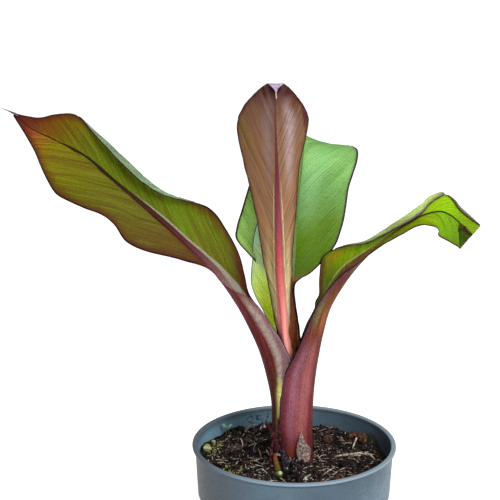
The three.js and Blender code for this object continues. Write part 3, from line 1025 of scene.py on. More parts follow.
CENTRE_ROWS = tuple(
    (at, (0, 1, 0), (right, lift, curl, 0), (left, lift, curl, 0), thick)
    for at, right, left, lift, curl, thick in (
        ((-5, -1, 175), 7, 7, 0, 95, (4, 2)), ((-6.5, -3, 200), 6, 7, 0, 90, (4, 2)),
        ((-9.5, -5, 225), 5, 5, 0, 80, (4, 2)), ((-11, -7, 250), 7.5, 6.5, 10, 40, (4, 2.2)),
        ((-13, -8, 280), 12, 10, 20, 20, (3.8, 2.4)), ((-14, -9, 310), 16.5, 13, 20, 20, (3.6, 2.4)),
        ((-15, -8, 340), 21.5, 16.5, 18, 20, (3.4, 2.4)), ((-16, -6, 370), 28, 21, 18, 20, (3.2, 2.4)),
        ((-17, -3, 400), 31.5, 27.5, 15, 15, (3, 2.4)), ((-17, -1, 420), 18, 16.5, 10, 10, (3, 2.4)),
        ((-17, 0, 429.5), 6.5, 6.5, 5, 5, (2.6, 2.4))))

BACK_ROWS = (
    ((0, 9, 175), (0, -1, 0), (8, 0, 78, 0), (8, 0, 78, 0), (4, 2)),
    ((-1.5, 10, 200), (0, -1, 0), (8, 0, 74, 0), (8, 0, 74, 0), (4, 2)),
    ((-3, 11, 225), (0, -1, 0.02), (7, 0, 70, 0), (8, 0, 70, 0), (4, 2)),
    ((-3.3, 12.4, 261), (0, -1, 0.06), (2, 10, 40, 0), (8, 10, 40, 0), (4, 2.2)),
    ((-3, 13, 273), (0, -1, 0.08), (15.3, 5, 0, 0), (22, 5, 0, 0), (3.8, 2.6)),
    ((-1, 15, 297), (0, -1, 0.1), (34, 0, 0, 0), (47, 0, 0, 0), (3.6, 2.6)),
    ((0, 18, 320), (0, -1, 0.15), (40, 0, 0, 0), (44, 0, 0, 0), (3.4, 2.6)),
    ((3, 24, 346), (0, -0.95, 0.25), (41, 0, 0, 0), (39, 0, 0, 0), (3.4, 2.6)),
    ((6, 34, 368), (0, -0.75, 0.65), (45, -10, 14, 0), (40, -8, 6, 0), (3.2, 2.6)),
    ((8, 52, 381), (0, -0.2, 1), (45, -33, 38, 0), (40, -20, 10, 0), (3.2, 2.6)),
    ((9, 74, 378), (0, 0.4, 0.9), (33, -26, 20, 0), (31, -15, 5, 0), (3, 2.6)),
    ((9, 92, 364), (0, 0.7, 0.7), (18, 0, 0, 0), (17, 0, 0, 0), (3, 2.6)),
    ((9, 104, 347), (0, 0.8, 0.6), (1.4, 0, 0, 0), (1.4, 0, 0, 0), (2.6, 2.6)),
)

FOLD_ROWS = tuple(
    ((x, y, z), (0, -1, 0), (1, 0, 0, 0), (width, lift, curl, 0), (2.6, 2.4))
    for x, y, z, width, lift, curl in (
        (-5, 10, 222, 10.5, 30, -20), (-6, 11, 240, 21, 30, -50), (-6, 12, 262, 32, 30, -60),
        (-5, 13, 284, 32.5, 30, -60), (-5, 15, 306, 30, 30, -50), (-5, 17, 328, 20, 25, -40),
        (-4, 19, 345, 3, 20, -20)))

LEFT_UPPER = Finish(
    "leaf_left_upper",
    base=((6, (80, 52, 30)), (7, (92, 96, 20)), (7.8, (98, 116, 8)), (9.2, (90, 112, 8)),
          (10.5, (92, 112, 10)), (11.5, (104, 104, 8)), (12.4, (116, 76, 14)), (13.2, (104, 40, 26)),
          (14, (62, 20, 34))),
    other=((6, (96, 48, 34)), (7.2, (100, 58, 32)), (8, (98, 80, 32)), (9.2, (98, 98, 24)),
           (10.8, (108, 108, 18)), (12, (124, 114, 14)), (12.6, (142, 96, 22)), (13.2, (128, 52, 38)),
           (14, (66, 20, 34))),
    mottle=(92, 60, 18), mottle_share=0.5, mottle_size=10, margin=(86, 34, 20), margin_width=9,
    margin_share=0.85, rim_width=1.5,
    rib=((6, (142, 112, 112)), (6.6, (138, 106, 106)), (7, (120, 80, 80)), (8, (84, 40, 38)),
         (9, (70, 34, 28)), (10, (46, 30, 16)), (12, (40, 34, 10)), (14, (50, 16, 22))),
    slant=2.2, vein_share=0.28, crease_shade=0.25, crease_gap=7,
    streaks=(
        Streak((62, 36, 34), ((5, 14, 8), (6.2, 15, 6), (7, 20, 5))),
        # painted highlight along the upper edge of the rib, down to the stalk
        Streak((166, 168, 148),
               ((5.8, 7.5, 3.2), (6.4, 6.4, 3), (6.9, 4.6, 2), (7.4, 4.3, 1.3), (8.4, 4, 1),
                (9.3, 2.8, 0.6)), strength=0.7, broken=0.2, over_rib=True),
        Streak((104, 48, 46), ((5.4, -6.5, 4.4), (6.2, -6, 4.4), (7, -3.6, 2.6), (8, -2.4, 1.4)), edge=0.7,
               over_rib=True),
        Streak((150, 60, 40), ((12.6, -4, 3), (13.5, -2, 2)), strength=0.7, broken=0.6)),
    roughness=0.42)

LEFT_UNDER = Finish(
    "leaf_left_under", vein_share=0.3,
    base=((0, (76, 32, 36)), (1.8, (70, 38, 32)), (3, (92, 46, 32)), (4.2, (102, 38, 38)),
          (6, (106, 42, 46)), (7.2, (112, 60, 56)), (7.9, (112, 130, 96)), (9, (132, 168, 120)),
          (11.4, (130, 156, 120)), (12.4, (110, 80, 60)), (14, (80, 30, 40))),
    mottle=(62, 26, 30), margin=(150, 134, 150), margin_width=2.6, rim=(40, 24, 30), rim_width=0.8,
    slant=2.2, bare_edge=(5, 7.3),
    streaks=(
        Streak((86, 24, 24), ((2.6, -4, 8), (4.4, -3, 7), (5.4, -2, 5))),
        Streak((130, 100, 105), ((3, -21, 5.5), (4.2, -20, 4.5), (5.2, -18, 4), (6, -16, 3))),
        # painted highlight: pale band along the rounded stalk
        Streak((172, 158, 146),
               ((2.9, -14.5, 3), (3.8, -17, 4), (4.5, -15.8, 4.2), (5.3, -14, 4.2), (6.1, -12.5, 3)),
               edge=0.9),
        Streak((140, 100, 52), ((0.8, -9, 2), (1.6, -9, 2.4), (2.6, -10.8, 2.6))),
        # painted highlight: yellow-green where the stalk's pale band runs down to the foot
        Streak((222, 220, 134), ((1.7, -10.4, 2.6), (2.5, -12.8, 3.4), (2.9, -14.2, 3)), strength=0.95,
               edge=0.8)),
    speckle=0.35)

RIGHT_UPPER = Finish(
    "leaf_right_upper",
    base=((6, (110, 60, 44)), (7, (112, 74, 48)), (7.8, (120, 84, 48)), (8.4, (128, 140, 40)),
          (9.4, (138, 156, 34)), (10.8, (140, 166, 14)), (12, (116, 160, 6)), (13.2, (108, 152, 8)),
          (14, (84, 118, 12))),
    other=((6, (112, 116, 62)), (6.6, (100, 108, 22)), (7.2, (120, 144, 8)), (8, (132, 166, 20)),
           (9, (140, 160, 60)), (11, (140, 180, 10)), (12.5, (136, 182, 4)), (14, (116, 150, 14))),
    mottle=(92, 122, 8), mottle_share=0.4, mottle_size=9, margin=(96, 70, 26), margin_width=3.5,
    rim=(40, 28, 26), rim_width=0.9,
    rib=((6, (110, 62, 44)), (8.5, (120, 100, 50)), (10.5, (52, 46, 24)), (14, (42, 52, 10))), slant=1.6,
    vein_share=0.22,
    streaks=(
        Streak((112, 60, 48), ((6.3, 0, 8.6), (7.17, -1.6, 5.6), (7.9, 0, 2.8), (8.3, 1.4, 2.4)),
               edge=0.25, soft=0.2, strength=1),
        Streak((150, 170, 116), ((6.4, -9.8, 0.7), (6.8, -9, 0.7), (7.17, -7.5, 0.7), (7.9, -3, 0.6)),
               strength=0.95, edge=0.6, broken=0),
        Streak((160, 84, 24), ((6.9, -19, 3), (7.5, -16, 3)), strength=0.5),
        Streak((74, 40, 34), ((6, -13, 5.4), (6.6, -21, 5.4), (7, -25, 4)), strength=0.9),
        # painted shade: dark olive pocket where the leaf's end folds under
        Streak((44, 64, 6), ((13.35, 1.6, 1.5), (13.5, 3, 2.6), (13.75, 5.8, 5.6), (14, 8.6, 8.6)),
               edge=0.15, soft=0.06, strength=1, broken=0.2),
        Streak((74, 50, 24), ((13.35, 1.2, 1), (13.6, 1.4, 1), (14, 1.4, 1)), edge=0.3, soft=0.1)),
    roughness=0.42)

RIGHT_UNDER = Finish(
    "leaf_right_under", vein_share=0.3,
    base=((0, (112, 52, 46)), (0.5, (138, 60, 62)), (1.5, (156, 78, 82)), (3, (138, 72, 78)),
          (4.2, (114, 58, 50)), (5.4, (112, 66, 38)), (6.2, (110, 66, 38)), (7, (98, 48, 40)),
          (7.5, (162, 184, 110)), (8.2, (182, 216, 118)), (10.8, (190, 218, 124)), (14, (132, 152, 70))),
    mottle=(104, 40, 52), mottle_share=0.4, margin=(84, 52, 64), margin_width=5, margin_share=0.8,
    rim=(40, 22, 28), rim_width=0.8, slant=1.6,
    streaks=(
        Streak((104, 54, 46), ((6.9, 9, 9), (7.6, 6, 7), (8.3, 3, 5)), strength=0.95, edge=0.2, soft=0.3),
        Streak((106, 40, 52), ((0.6, 27, 4), (1.6, 28, 4), (3, 26, 4), (4.4, 19, 4), (5.4, 14, 3)),
               strength=0.7),
        Streak((146, 108, 128), ((0.9, 21.5, 4), (1.6, 22, 5), (3.2, 20.6, 5), (4.2, 15.5, 4)),
               strength=0.5, edge=0.95),
        # painted highlight down the middle of the rounded sheath
        Streak((184, 122, 116), ((0.9, 14, 6), (2.2, 13.5, 6), (3.4, 12, 5), (4.4, 10, 4)), strength=0.4,
               edge=0.95),
        Streak((92, 34, 30), ((0.2, 5.4, 4.2), (2, 5, 4), (3.6, 4, 3), (5, 4, 2)), strength=0.75,
               edge=0.8),
        # painted shade on the sheath's edge that turns away from the light
        Streak((72, 28, 30), ((0, 0, 4.5), (3.4, 0, 3.6), (5, 0, 3)), edge=0.8),
        Streak((152, 74, 44), ((0.3, 22, 6), (0.7, 21, 5)), strength=0.7),
        Streak((112, 116, 64), ((5.2, 12, 2.4), (6, 11.5, 2.4), (6.3, 11, 2))),
        Streak((162, 104, 56), ((4.9, 6.5, 2.6), (5.8, 6.5, 2.6)), strength=0.7),
        Streak((150, 140, 152), ((7.6, 1.2, 1), (9.5, 1.2, 1), (11.4, 1.3, 1.1)), Across.INSET,
               broken=0.5),
        Streak((140, 132, 140), ((11.9, 2.4, 2.5), (12.8, 2.6, 2.5), (14, 2.6, 2.5)), Across.INSET,
               strength=0.75, broken=0.4)),
    roughness=0.48, speckle=0.35)

CENTRE_UNDER = Finish(
    "leaf_centre_under",
    base=((0, (214, 124, 120)), (2.4, (206, 150, 116)), (3.4, (180, 156, 108)), (4.6, (160, 124, 88)),
          (6, (144, 104, 72)), (7.5, (128, 94, 66)), (8.4, (110, 76, 58)), (9.1, (72, 36, 32)),
          (10, (44, 20, 28))),
    mottle=(128, 98, 92), mottle_share=0.3, mottle_size=12, margin=(72, 34, 32), margin_width=4,
    margin_share=0.65, rim=(48, 22, 28), rim_width=0.9,
    rib=((0, (224, 122, 122)), (2, (228, 140, 132)), (3, (224, 130, 124)), (4, (198, 98, 98)),
         (5, (150, 70, 80)), (6.2, (116, 50, 64)), (6.8, (98, 44, 54)), (8.4, (90, 60, 60)),
         (10, (50, 24, 32))),
    slant=2.3, vein_gap=4, vein_share=0.26, vein_depth=0.6, crease_gap=8, crease_shade=0.45, speckle=0.12,
    stalk=2.6,
    streaks=(
        Streak((136, 116, 120), ((6.6, 5, 6), (8.2, 6, 7), (8.6, 5, 5)), strength=0.6, edge=0.98, soft=0.6,
               broken=0.5),
        Streak((180, 156, 156), ((6.4, -9, 6), (8.1, -11, 8), (8.6, -8, 6)), strength=0.7, edge=0.98,
               soft=0.6, broken=0.4),
        Streak((66, 26, 30), ((7.6, -27, 4), (8.6, -24, 6), (9.2, -16, 9))),
        Streak((66, 30, 28), ((8.3, 29, 5), (8.8, 25, 7), (9.3, 15, 9)), broken=0.5),
        Streak((118, 92, 44), ((7, 24, 6), (8.2, 26, 6)), strength=0.6, broken=0.6),
        Streak((194, 184, 118), ((2.6, 5, 2.8), (3.6, 7, 3.4), (4.6, 8, 3.2)), strength=0.75, edge=0.9,
               soft=1),
        Streak((222, 210, 156), ((2.6, -5, 2.6), (3.6, -6.4, 3.4), (4.4, -7, 3.2)), strength=0.85,
               edge=0.9, soft=1),
        Streak((232, 216, 176), ((2.4, 3.8, 0.6), (4.6, 3.1, 0.6), (6.2, 2.1, 0.5)), strength=0.6,
               broken=0.4, edge=0.8),
        Streak((236, 218, 180), ((2.4, -4.2, 0.7), (4.6, -3.2, 0.7), (6.2, -2.1, 0.5)), strength=0.7,
               broken=0.4, edge=0.8),
        # painted shade on one flank of the raised rib
        Streak((186, 52, 62), ((1.4, 0.9, 0.9), (3, 0.6, 0.8), (5, 0.3, 0.6)), strength=0.6, edge=0.9,
               over_rib=True),
        # painted highlight on the rib's other flank
        Streak((255, 196, 184), ((0.4, -1.2, 1.2), (2.4, -1, 0.9), (3.4, -0.8, 0.6)), strength=0.55,
               edge=0.9, over_rib=True),
        # painted shade round the tip flap folded over the top
        Streak((34, 12, 22), ((9.2, 0, 5), (10, 0, 7)), soft=0.2)),
    roughness=0.45)

CENTRE_UPPER = Finish(
    "leaf_centre_upper",
    base=((0, (170, 110, 100)), (3.5, (150, 150, 90)), (6, (92, 90, 44)), (9, (96, 58, 44)),
          (10, (60, 28, 36))),
    mottle=(84, 56, 40), margin=(80, 40, 40), stalk=2.6, rib=((0, (170, 96, 90)), (10, (80, 40, 40))),
    slant=2.1)

BACK_UPPER = Finish(
    "leaf_back_upper",
    base=((0, (214, 116, 100)), (3, (190, 108, 84)), (3.7, (104, 88, 42)), (4.3, (80, 112, 20)),
          (5, (92, 126, 26)), (5.8, (100, 138, 50)), (6.8, (114, 162, 90)), (8, (142, 198, 114)),
          (9, (132, 186, 102)), (12, (112, 140, 60))),
    other=((0, (214, 116, 100)), (3, (180, 104, 82)), (3.7, (140, 150, 72)), (4.5, (166, 210, 104)),
           (5.5, (172, 222, 118)), (6.5, (158, 206, 96)), (9, (130, 172, 84)), (12, (104, 130, 56))),
    mottle=(92, 130, 52), mottle_share=0.4, mottle_size=18, glow=0.12, margin=(98, 92, 62), margin_width=4,
    margin_share=0.5, rim=(52, 36, 50), rim_width=2.2, stalk=3.3,
    rib=((0, (196, 92, 66)), (3.2, (160, 92, 66)), (4, (132, 158, 100)), (6, (110, 144, 76)),
         (12, (96, 120, 56))),
    slant=1.3, vein_gap=3.4, vein_share=0.16, vein_depth=0.25,
    streaks=(
        # painted reflection: a pale sheen of sky on the glossy blade
        Streak((156, 210, 152), ((6, 8, 13), (8.2, 12, 16)), strength=0.4, edge=0.98, soft=0.8),
        Streak((86, 114, 26), ((4, 8, 9), (4.8, 20, 9), (5.8, 27, 11), (6.3, 32, 8)), strength=0.6,
               edge=0.9),
        # painted shade in the crease where the blade folds back behind itself
        Streak((40, 62, 20), ((4.3, -29, 3.5), (5, -27, 2.5), (5.8, -24, 2))),
        Streak((62, 44, 30), ((0, 3.4, 1.6), (3.2, 3, 1.4)))),
    roughness=0.45)

BACK_UNDER = Finish(
    "leaf_back_under",
    base=((0, (120, 62, 50)), (3, (112, 62, 46)), (3.8, (120, 110, 80)), (5, (140, 166, 128)),
          (12, (132, 156, 112))),
    mottle=(56, 36, 28), mottle_share=0.6, mottle_size=6, margin=(140, 122, 140), rim=(60, 40, 52),
    slant=0.9, crease_shade=0.2, stalk=3.3,
    rib=((0, (118, 62, 50)), (4, (150, 96, 84)), (12, (150, 130, 100))), speckle=0.4)

FOLD_UPPER = Finish(
    "leaf_back_fold",
    base=((0, (214, 222, 60)), (0.6, (220, 236, 76)), (1.4, (226, 252, 104)), (2.2, (222, 253, 156)),
          (3, (212, 252, 190)), (4, (176, 216, 164)), (6, (130, 164, 108))),
    mottle=(180, 216, 70), mottle_share=0.4, margin=(180, 204, 198), margin_width=5, margin_share=0.5,
    rim=(70, 72, 84), rim_width=1.2, stalk=0, glow=1)

HEART = Finish("stem_heart_skin", base=((0, (150, 110, 84)), (1, (190, 120, 100))), roughness=0.6)


@dataclass
class Pot:
    """The round nursery pot, turned from a profile, with drain holes in its floor."""

    height: float = 130.0
    rim: float = 85.0
    base: float = 60.0
    wall: float = 1.8
    floor: float = 2.4
    lip: float = 2.8
    overhang: float = 2.4
    rounding: float = 1.1
    band: float = 40.2
    taper: float = 2.0
    shoulder: float = 3.6
    shoulder_height: float = 4.0
    sides: int = 144
    holes: int = 6
    hole_radius: float = 4.5
    hole_ring: float = 46.0

    def corner(self, x: float, z: float, start: float) -> list[list[float]]:
        """Gives the points of a quarter round.

        Args:
            x: Radius of its middle.
            z: Height of its middle.
            start: Angle at which it begins, in degrees.

        Returns:
            Points of radius and height.
        """
        points = 5
        turns = np.radians(start + np.linspace(0, 90, points))
        return [[x + self.rounding * math.cos(a), z + self.rounding * math.sin(a)] for a in turns]

    def profile(self) -> np.ndarray:
        """Gives the outline from the underside's edge up, over the lip and down to the floor.

        Returns:
            Radius and height of each point.
        """
        under = self.height - self.lip
        top = self.rim - self.overhang
        foot = top - self.taper
        band = under - self.band
        low = band - self.shoulder_height
        r = self.rounding
        steps = [[foot - self.shoulder, low], [foot, band], [top, under]]
        outside = [[self.base - 1.5, 0], [self.base - 0.4, 0.4], [self.base, 1.5]]
        for share in (0.35, 0.7):
            outside.append([self.base + (steps[0][0] - self.base) * share, low * share])
        bend = [[foot - self.shoulder * 0.86, low + 0.4], [foot - self.shoulder * 0.5, low + 1.3],
                [foot - 0.5, band - 1.2], [foot - 0.1, band - 0.4]]
        lip = (self.corner(self.rim - r, under + r, -90)
               + self.corner(self.rim - r, self.height - r, 0))
        inner = self.corner(top - self.wall + r, self.height - r, 90)
        inside = [[x - self.wall, z] for x, z in reversed(steps)]
        points = outside + [steps[0]] + bend + steps[1:] + lip + inner + inside
        return np.array(points + [[self.base - self.wall, self.floor]], float)

    def build(self) -> bpy.types.Object:
        """Turns the wall, closes it with a pierced floor and dresses it.

        Returns:
            The finished pot.
        """
        profile = self.profile()
        xy = profile[:, 0, None, None] * np.stack(circle(self.sides), 1)[None]
        z = np.broadcast_to(profile[:, 1, None, None], (len(profile), self.sides, 1))
        middle = np.array([[0, 0, 0], [0, 0, self.floor]], float)
        shell = Shell()
        points = np.concatenate([np.concatenate([xy, z], 2).reshape(-1, 3), middle])
        faces = np.roll(drum_faces(len(profile), self.sides)[:, ::-1], 1, axis=1)
        shell.add(points, faces)
        made = shell.piece("nursery_pot", [self.plastic()])
        self.pierce(made)
        for polygon in made.data.polygons:
            polygon.use_smooth = abs(polygon.normal.z) < 0.99
        return settle(made, "pot_plastic", "pot")

    def pierce(self, pot: bpy.types.Object) -> None:
        """Cuts the drain holes through the floor.

        Args:
            pot: The pot's object.
        """
        cutter = Shell()
        for n in range(self.holes):
            angle = (n + 0.5) / self.holes * 2 * math.pi
            x, y = self.hole_ring * math.cos(angle), self.hole_ring * math.sin(angle)
            path = np.array([[x, y, -5.0], [x, y, 8.0]])
            cutter.add(*tube(path, np.full(2, self.hole_radius), 24))
        tool = cutter.piece("drain_cutter", [])
        cut = pot.modifiers.new("drain", "BOOLEAN")
        cut.object, cut.operation, cut.solver = tool, "DIFFERENCE", "EXACT"
        whole = bpy.data.meshes.new_from_object(
            pot.evaluated_get(bpy.context.evaluated_depsgraph_get()))
        pot.modifiers.clear()
        pot.data = whole
        bpy.data.objects.remove(tool)

    def plastic(self) -> bpy.types.Material:
        """Builds the blue-grey moulded plastic, with scuffs, dust and splashes of compost, and with
        painted shade on its left side and under the lip, a painted highlight on the lip and painted light
        and shade on the inner wall.

        Returns:
            The material.
        """
        g = Graph("pot_plastic")
        here = g.place()
        x, y, z = (g.part(here, axis) for axis in "XYZ")
        radius = g.math("SQRT", g.math("ADD", g.times(x, x), g.times(y, y)))
        inside = g.times(g.fade(radius, self.rim - 4.0, self.rim - 4.5), g.fade(z, 100, 113))
        cloud = g.noise(here, 0.03, 4, 0.5)
        colour = g.mix(g.fade(cloud, 0.35, 0.65), paint(84, 104, 118), paint(96, 120, 136))
        # painted shade: the left side of the pot is darker, where the light falls less
        turned = g.fade(x, -86, -10)
        colour = g.mix(turned, paint(60, 66, 72), colour)
        fine = g.noise(here, 0.7, 5)
        colour = g.scale(colour, g.fade(fine, 0.35, 0.7, 1.04, 0.93))
        scratch = g.noise(g.vector(g.times(x, 0.05), g.times(y, 0.05), g.times(z, 1.6)), 1.0, 3)
        colour = g.mix(g.fade(scratch, 0.62, 0.74, 0, 0.22), colour, paint(140, 154, 164))
        foot = self.height - self.lip
        # painted highlight along the top of the lip, stronger to the right, then painted shade on the band
        # under it
        lip = g.times(g.fade(z, foot + 0.7, foot + 1.9), g.fade(x, -80, -20, 0.25, 0.8))
        colour = g.mix(lip, colour, paint(152, 168, 182))
        colour = g.mix(g.times(g.fade(z, foot - 2.5, foot - 0.2),
                               g.fade(z, foot + 1.4, foot + 0.4)), colour, paint(66, 80, 90))
        # painted light on the inner wall at the left, fading to painted shade at the right
        inner = g.mix(g.fade(x, -80, 40), paint(128, 166, 186), paint(90, 112, 128))
        inner = g.mix(g.fade(x, 66, 84), inner, paint(52, 54, 62))
        inner = g.scale(inner, g.fade(cloud, 0.3, 0.7, 0.9, 1.12))
        colour = g.mix(g.times(inside, g.fade(z, 129.6, 128.6)), colour, inner)
        spots = g.cells(here, 0.32)
        patch = g.fade(g.noise(here, 0.07, 3), 0.46, 0.6)
        dirt = g.times(g.fade(spots, 0.34, 0.14), g.times(patch, g.fade(z, 127.5, 115)))
        near = g.node("ShaderNodeVectorMath", {0: here, 1: (-30.0, 76.0, 121.0)},
                      operation="DISTANCE").outputs["Value"]
        splash = g.times(g.fade(g.noise(here, 0.45, 5, 0.4), 0.5, 0.62), g.fade(near, 19, 6))
        stain = g.times(inside, g.math("MAXIMUM", dirt, splash))
        colour = g.mix(g.times(stain, 0.8), colour, paint(36, 40, 44))
        height = g.math("MULTIPLY_ADD", scratch, 0.3, fine)
        shine = g.fade(fine, 0.3, 0.7, 0.4, 0.55)
        return g.finish(colour, shine, g.bump(height, 0.12, 0.4), Specular_IOR_Level=0.12)


@dataclass
class Compost:
    """The compost that fills the pot, with a crumbly top."""

    radius: float = 79.6
    top: float = SOIL_TOP
    dish: float = 1.5
    rings: int = 130
    sides: int = 320
    floor: float = 2.7
    seed: int = 11
    mounds: tuple[tuple[float, float, float, float], ...] = (
        (-76, 22, 8, 22), (-52, 56, 6, 20), (-16, 62, 6, 20), (28, 58, 4.5, 22),
        (66, 38, 9, 12), (46, -2, 3, 16), (-45, -22, 1, 18), (0, 26, 3, 18), (2, -23, 8, 12),
        (-16, -18, 5, 9), (-34, 34, 3, 14))

    def height(self, x: np.ndarray, y: np.ndarray) -> np.ndarray:
        """Gives the height of the surface at places on the pot's plan.

        Args:
            x: Places to the right.
            y: Places to the back.

        Returns:
            Heights in millimetres.
        """
        r = np.hypot(x, y)
        z = self.top - 1.2 - self.dish * np.clip((r - 30) / 50, 0, 1)
        for cx, cy, rise, size in self.mounds:
            z = z + rise * np.exp(-((x - cx) ** 2 + (y - cy) ** 2) / size ** 2)
        for n, (cell, rise) in enumerate(((12, 1.6), (6.1, 1.3), (3.0, 0.9), (1.6, 0.45))):
            hill = rough(x, y, cell, self.seed + n)
            z = z + rise * (hill if n < 1 else 1.2 * np.abs(hill) - 0.3)
        highest = 127.0  # a little under the pot's rim
        return np.minimum(z, highest)

    def at(self, x: float, y: float, over: float = 0.0) -> list[float]:
        """Gives the point of the surface at a place, or one that much over it."""
        return [x, y, float(self.height(np.array([x]), np.array([y]))[0]) + over]

    def surface(self, x: float = 0, y: float = 0,
                radius: float | None = None) -> tuple[np.ndarray, np.ndarray]:
        """Gives the points and faces of a round part of the top.

        Args:
            x: Middle of the part.
            y: Middle of the part.
            radius: Its radius, or nothing for the whole top.

        Returns:
            Points and faces.
        """
        rings, sides = self.rings, self.sides
        if radius is not None:
            rings, sides = max(12, int(radius * 1.6)), max(48, int(radius * 4))
        r = np.linspace(0, radius or self.radius, rings + 1)[1:]
        c, s = circle(sides)
        gx, gy = x + np.outer(r, c), y + np.outer(r, s)
        points = np.stack([gx, gy, self.height(gx, gy)], 2).reshape(-1, 3)
        k = np.arange(sides)
        middle = np.full_like(k, len(points))
        points = np.concatenate([points, np.array([self.at(x, y)])])
        inner = np.stack([middle, middle, k, (k + 1) % sides], 1)
        return points, np.concatenate([ring_faces(rings, sides), inner])

    def build(self) -> bpy.types.Object:
        """Builds the filling and dresses it.

        Returns:
            The finished compost, without what is strewn on it.
        """
        points, faces = self.surface()
        c, s = circle(self.sides)
        k = np.arange(self.sides)
        rims = [k + (self.rings - 1) * self.sides]
        down = ((79.3, 105), (78.2, 87), (74.6, 83), (57.9, self.floor))  # radius and height
        for radius, z in down:
            rims.append(k + len(points))
            level = np.stack([c * radius, s * radius, 0 * c + z], 1)
            points = np.concatenate([points, level])
        walls = [np.stack([a, b, np.roll(b, -1), np.roll(a, -1)], 1) for a, b in zip(rims, rims[1:])]
        middle = np.full_like(k, len(points))
        points = np.concatenate([points, np.array([[0, 0, self.floor]])])
        under = np.stack([np.roll(rims[-1], -1), rims[-1], middle, middle], 1)
        shell = Shell()
        shell.add(points, np.concatenate([faces, *walls, under]))
        return settle(shell.piece("compost_fill", [self.soil()]), "compost", "compost")

    def soil(self) -> bpy.types.Material:
        """Builds the dark, damp and crumbly compost.

        Returns:
            The material.
        """
        g = Graph("compost_dark")
        here = g.place()
        crumbs = g.noise(here, 0.55, 6, 0.3)
        colour = g.mix(g.fade(crumbs, 0.4, 0.68), paint(12, 9, 10), paint(58, 48, 44))
        colour = g.mix(g.fade(g.noise(here, 0.06, 4), 0.52, 0.68, 0, 0.5), colour,
                       paint(52, 40, 50))
        colour = g.mix(g.fade(g.noise(here, 0.045, 3), 0.54, 0.68, 0, 0.4), colour,
                       paint(56, 58, 36))
        pick = g.fade(g.noise(here, 0.31, 2), 0.58, 0.64)
        colour = g.mix(g.times(g.fade(g.cells(here, 0.8), 0.2, 0.06), pick), colour,
                       paint(140, 130, 112))
        return g.finish(colour, g.fade(crumbs, 0.3, 0.7, 0.55, 0.95), g.bump(crumbs, 1.0, 0.9),
                        Specular_IOR_Level=0.08)


class Bit(Enum):
    """The shapes of small bodies that lie on the compost."""

    CRUMB = "crumb"
    CHIP = "chip"
    FIBRE = "fibre"


@dataclass(frozen=True)
class Strewing:
    """How one kind of small body is strewn, with its size in millimetres."""

    name: str
    kind: Bit
    number: float  # per square decimetre
    low: tuple[float, float, float]
    high: tuple[float, float, float]
    tilt: float
    seed: int
    matter: Matter
    patch: tuple[float, float, float]  # x, y and radius of where it lies


